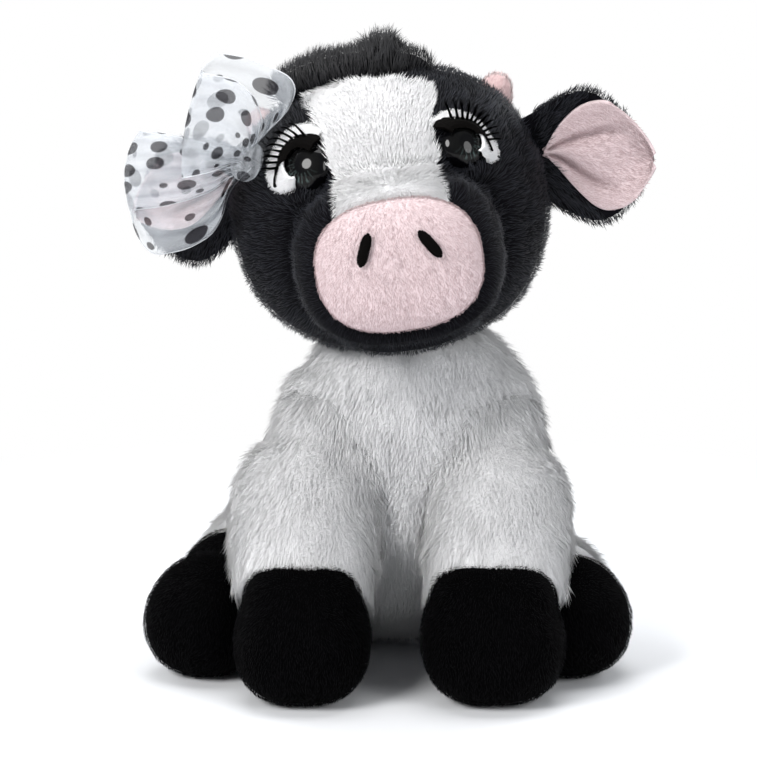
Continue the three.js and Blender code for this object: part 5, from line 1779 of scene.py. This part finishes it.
bow_upper = ribbon_loop("bow_ribbon_upper", upper_low, upper_high, 0.094, 0.0065, -0.006, 6, 0.4, 0.0024)
bow_lower = ribbon_loop("bow_ribbon_lower", lower_low, lower_high, 0.1, 0.006, 0.002, 6, 1.9, 0.0045)

knot_half = 0.0078
knot_points, knot_faces = ball_form((0, 0, 0), (0.0055, 0.0055, knot_half), 2.3, columns=96, rows=48)
around = np.arctan2(knot_points[:, 1], knot_points[:, 0])
pleats = np.sin(9 * around + 1.3 * np.sin(knot_points[:, 2] * 500))
knot_points *= (1 + 0.09 * pleats * (1 - (knot_points[:, 2] / knot_half) ** 2))[:, None]
knot = plain_mesh(
    "bow_ribbon_knot", knot_points @ flat_turn(25).T + knot_at + np.array([0, -0.002, 0]), knot_faces
)
uv = knot.data.uv_layers.new(name="ribbon")
for corner in knot.data.loops:
    p = knot_points[corner.vertex_index]
    uv.data[corner.index].uv = (around[corner.vertex_index] * 0.006, p[2] * 1.5)
shade_smooth(knot)
put_on(knot, organza)
set_on_head(knot)
for piece in (bow_upper, bow_lower, knot):
    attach(piece, "head")
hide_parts("bow_loop_upper")
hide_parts("bow_loop_lower")
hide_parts("bow_knot")

# The stuffing: lumps of white polyester fibre packed into every part, firm in the legs and softer in the
# seat. A cloth pouch of pellets lies low in the seat and keeps the toy upright, and a ball of fibre
# stiffens the neck.
fibre_fill = ground_material(
    "polyester_stuffing", (0.82, 0.82, 0.8), (0.6, 0.6, 0.58), 0.0016, 0.95, 0.0012
)
pouch_cloth = ground_material(
    "pellet_pouch_cloth", (0.62, 0.6, 0.56), (0.48, 0.46, 0.42), 0.0006, 0.85, 0.0003
)
cover_room = 0.002  # the torso's stuffing keeps at least this far inside its cover
for node, body, slot_name, room, lump, material in (
    ("torso_filling", "torso", "fibre_stuffing", 0.004, 0.0016, fibre_fill),
    ("head_filling", "head", "fibre_stuffing", 0.004, 0.0016, fibre_fill),
    ("neck_filling", "neck", "fibre_stuffing", 0.001, 0.001, fibre_fill),
    ("seat_pouch", "torso", "pouch_cloth", 0.001, 0.0012, pouch_cloth),
    ("front_leg_filling_left", "front_leg_left", "fibre_stuffing", 0.0055, 0.0012, fibre_fill),
    ("front_leg_filling_right", "front_leg_right", "fibre_stuffing", 0.0055, 0.0012, fibre_fill),
    ("hind_leg_filling_left", "hind_leg_left", "fibre_stuffing", 0.005, 0.0012, fibre_fill),
    ("hind_leg_filling_right", "hind_leg_right", "fibre_stuffing", 0.005, 0.0012, fibre_fill),
):
    lumps = copy_of(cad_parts[node], f"{node}_lumps")
    work = bmesh.new()
    work.from_mesh(lumps.data)
    bmesh.ops.remove_doubles(work, verts=work.verts, dist=1e-6)
    work.to_mesh(lumps.data)
    work.free()
    softened(lumps, 0.003, 5)
    co, no = points_of(lumps), normals_of(lumps)
    swell = np.sin(co[:, 0] * 420 + 1) * np.sin(co[:, 1] * 380 + 2) + np.sin(co[:, 2] * 350 + co[:, 0] * 200)
    co = co - no * (room - lump * 0.5 * swell)[:, None]
    if body == "torso":  # the CAD block is fuller in places than the cover that Blender shows
        for i, deep in enumerate(depth_in(torso_tree, co)):
            if deep < cover_room:
                spot, normal, _, _ = torso_tree.find_nearest(tuple(co[i]))
                co[i] = spot - normal * cover_room
    move_points(lumps, co)
    put_on(lumps, material)
    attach(lumps, body)
    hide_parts(node)
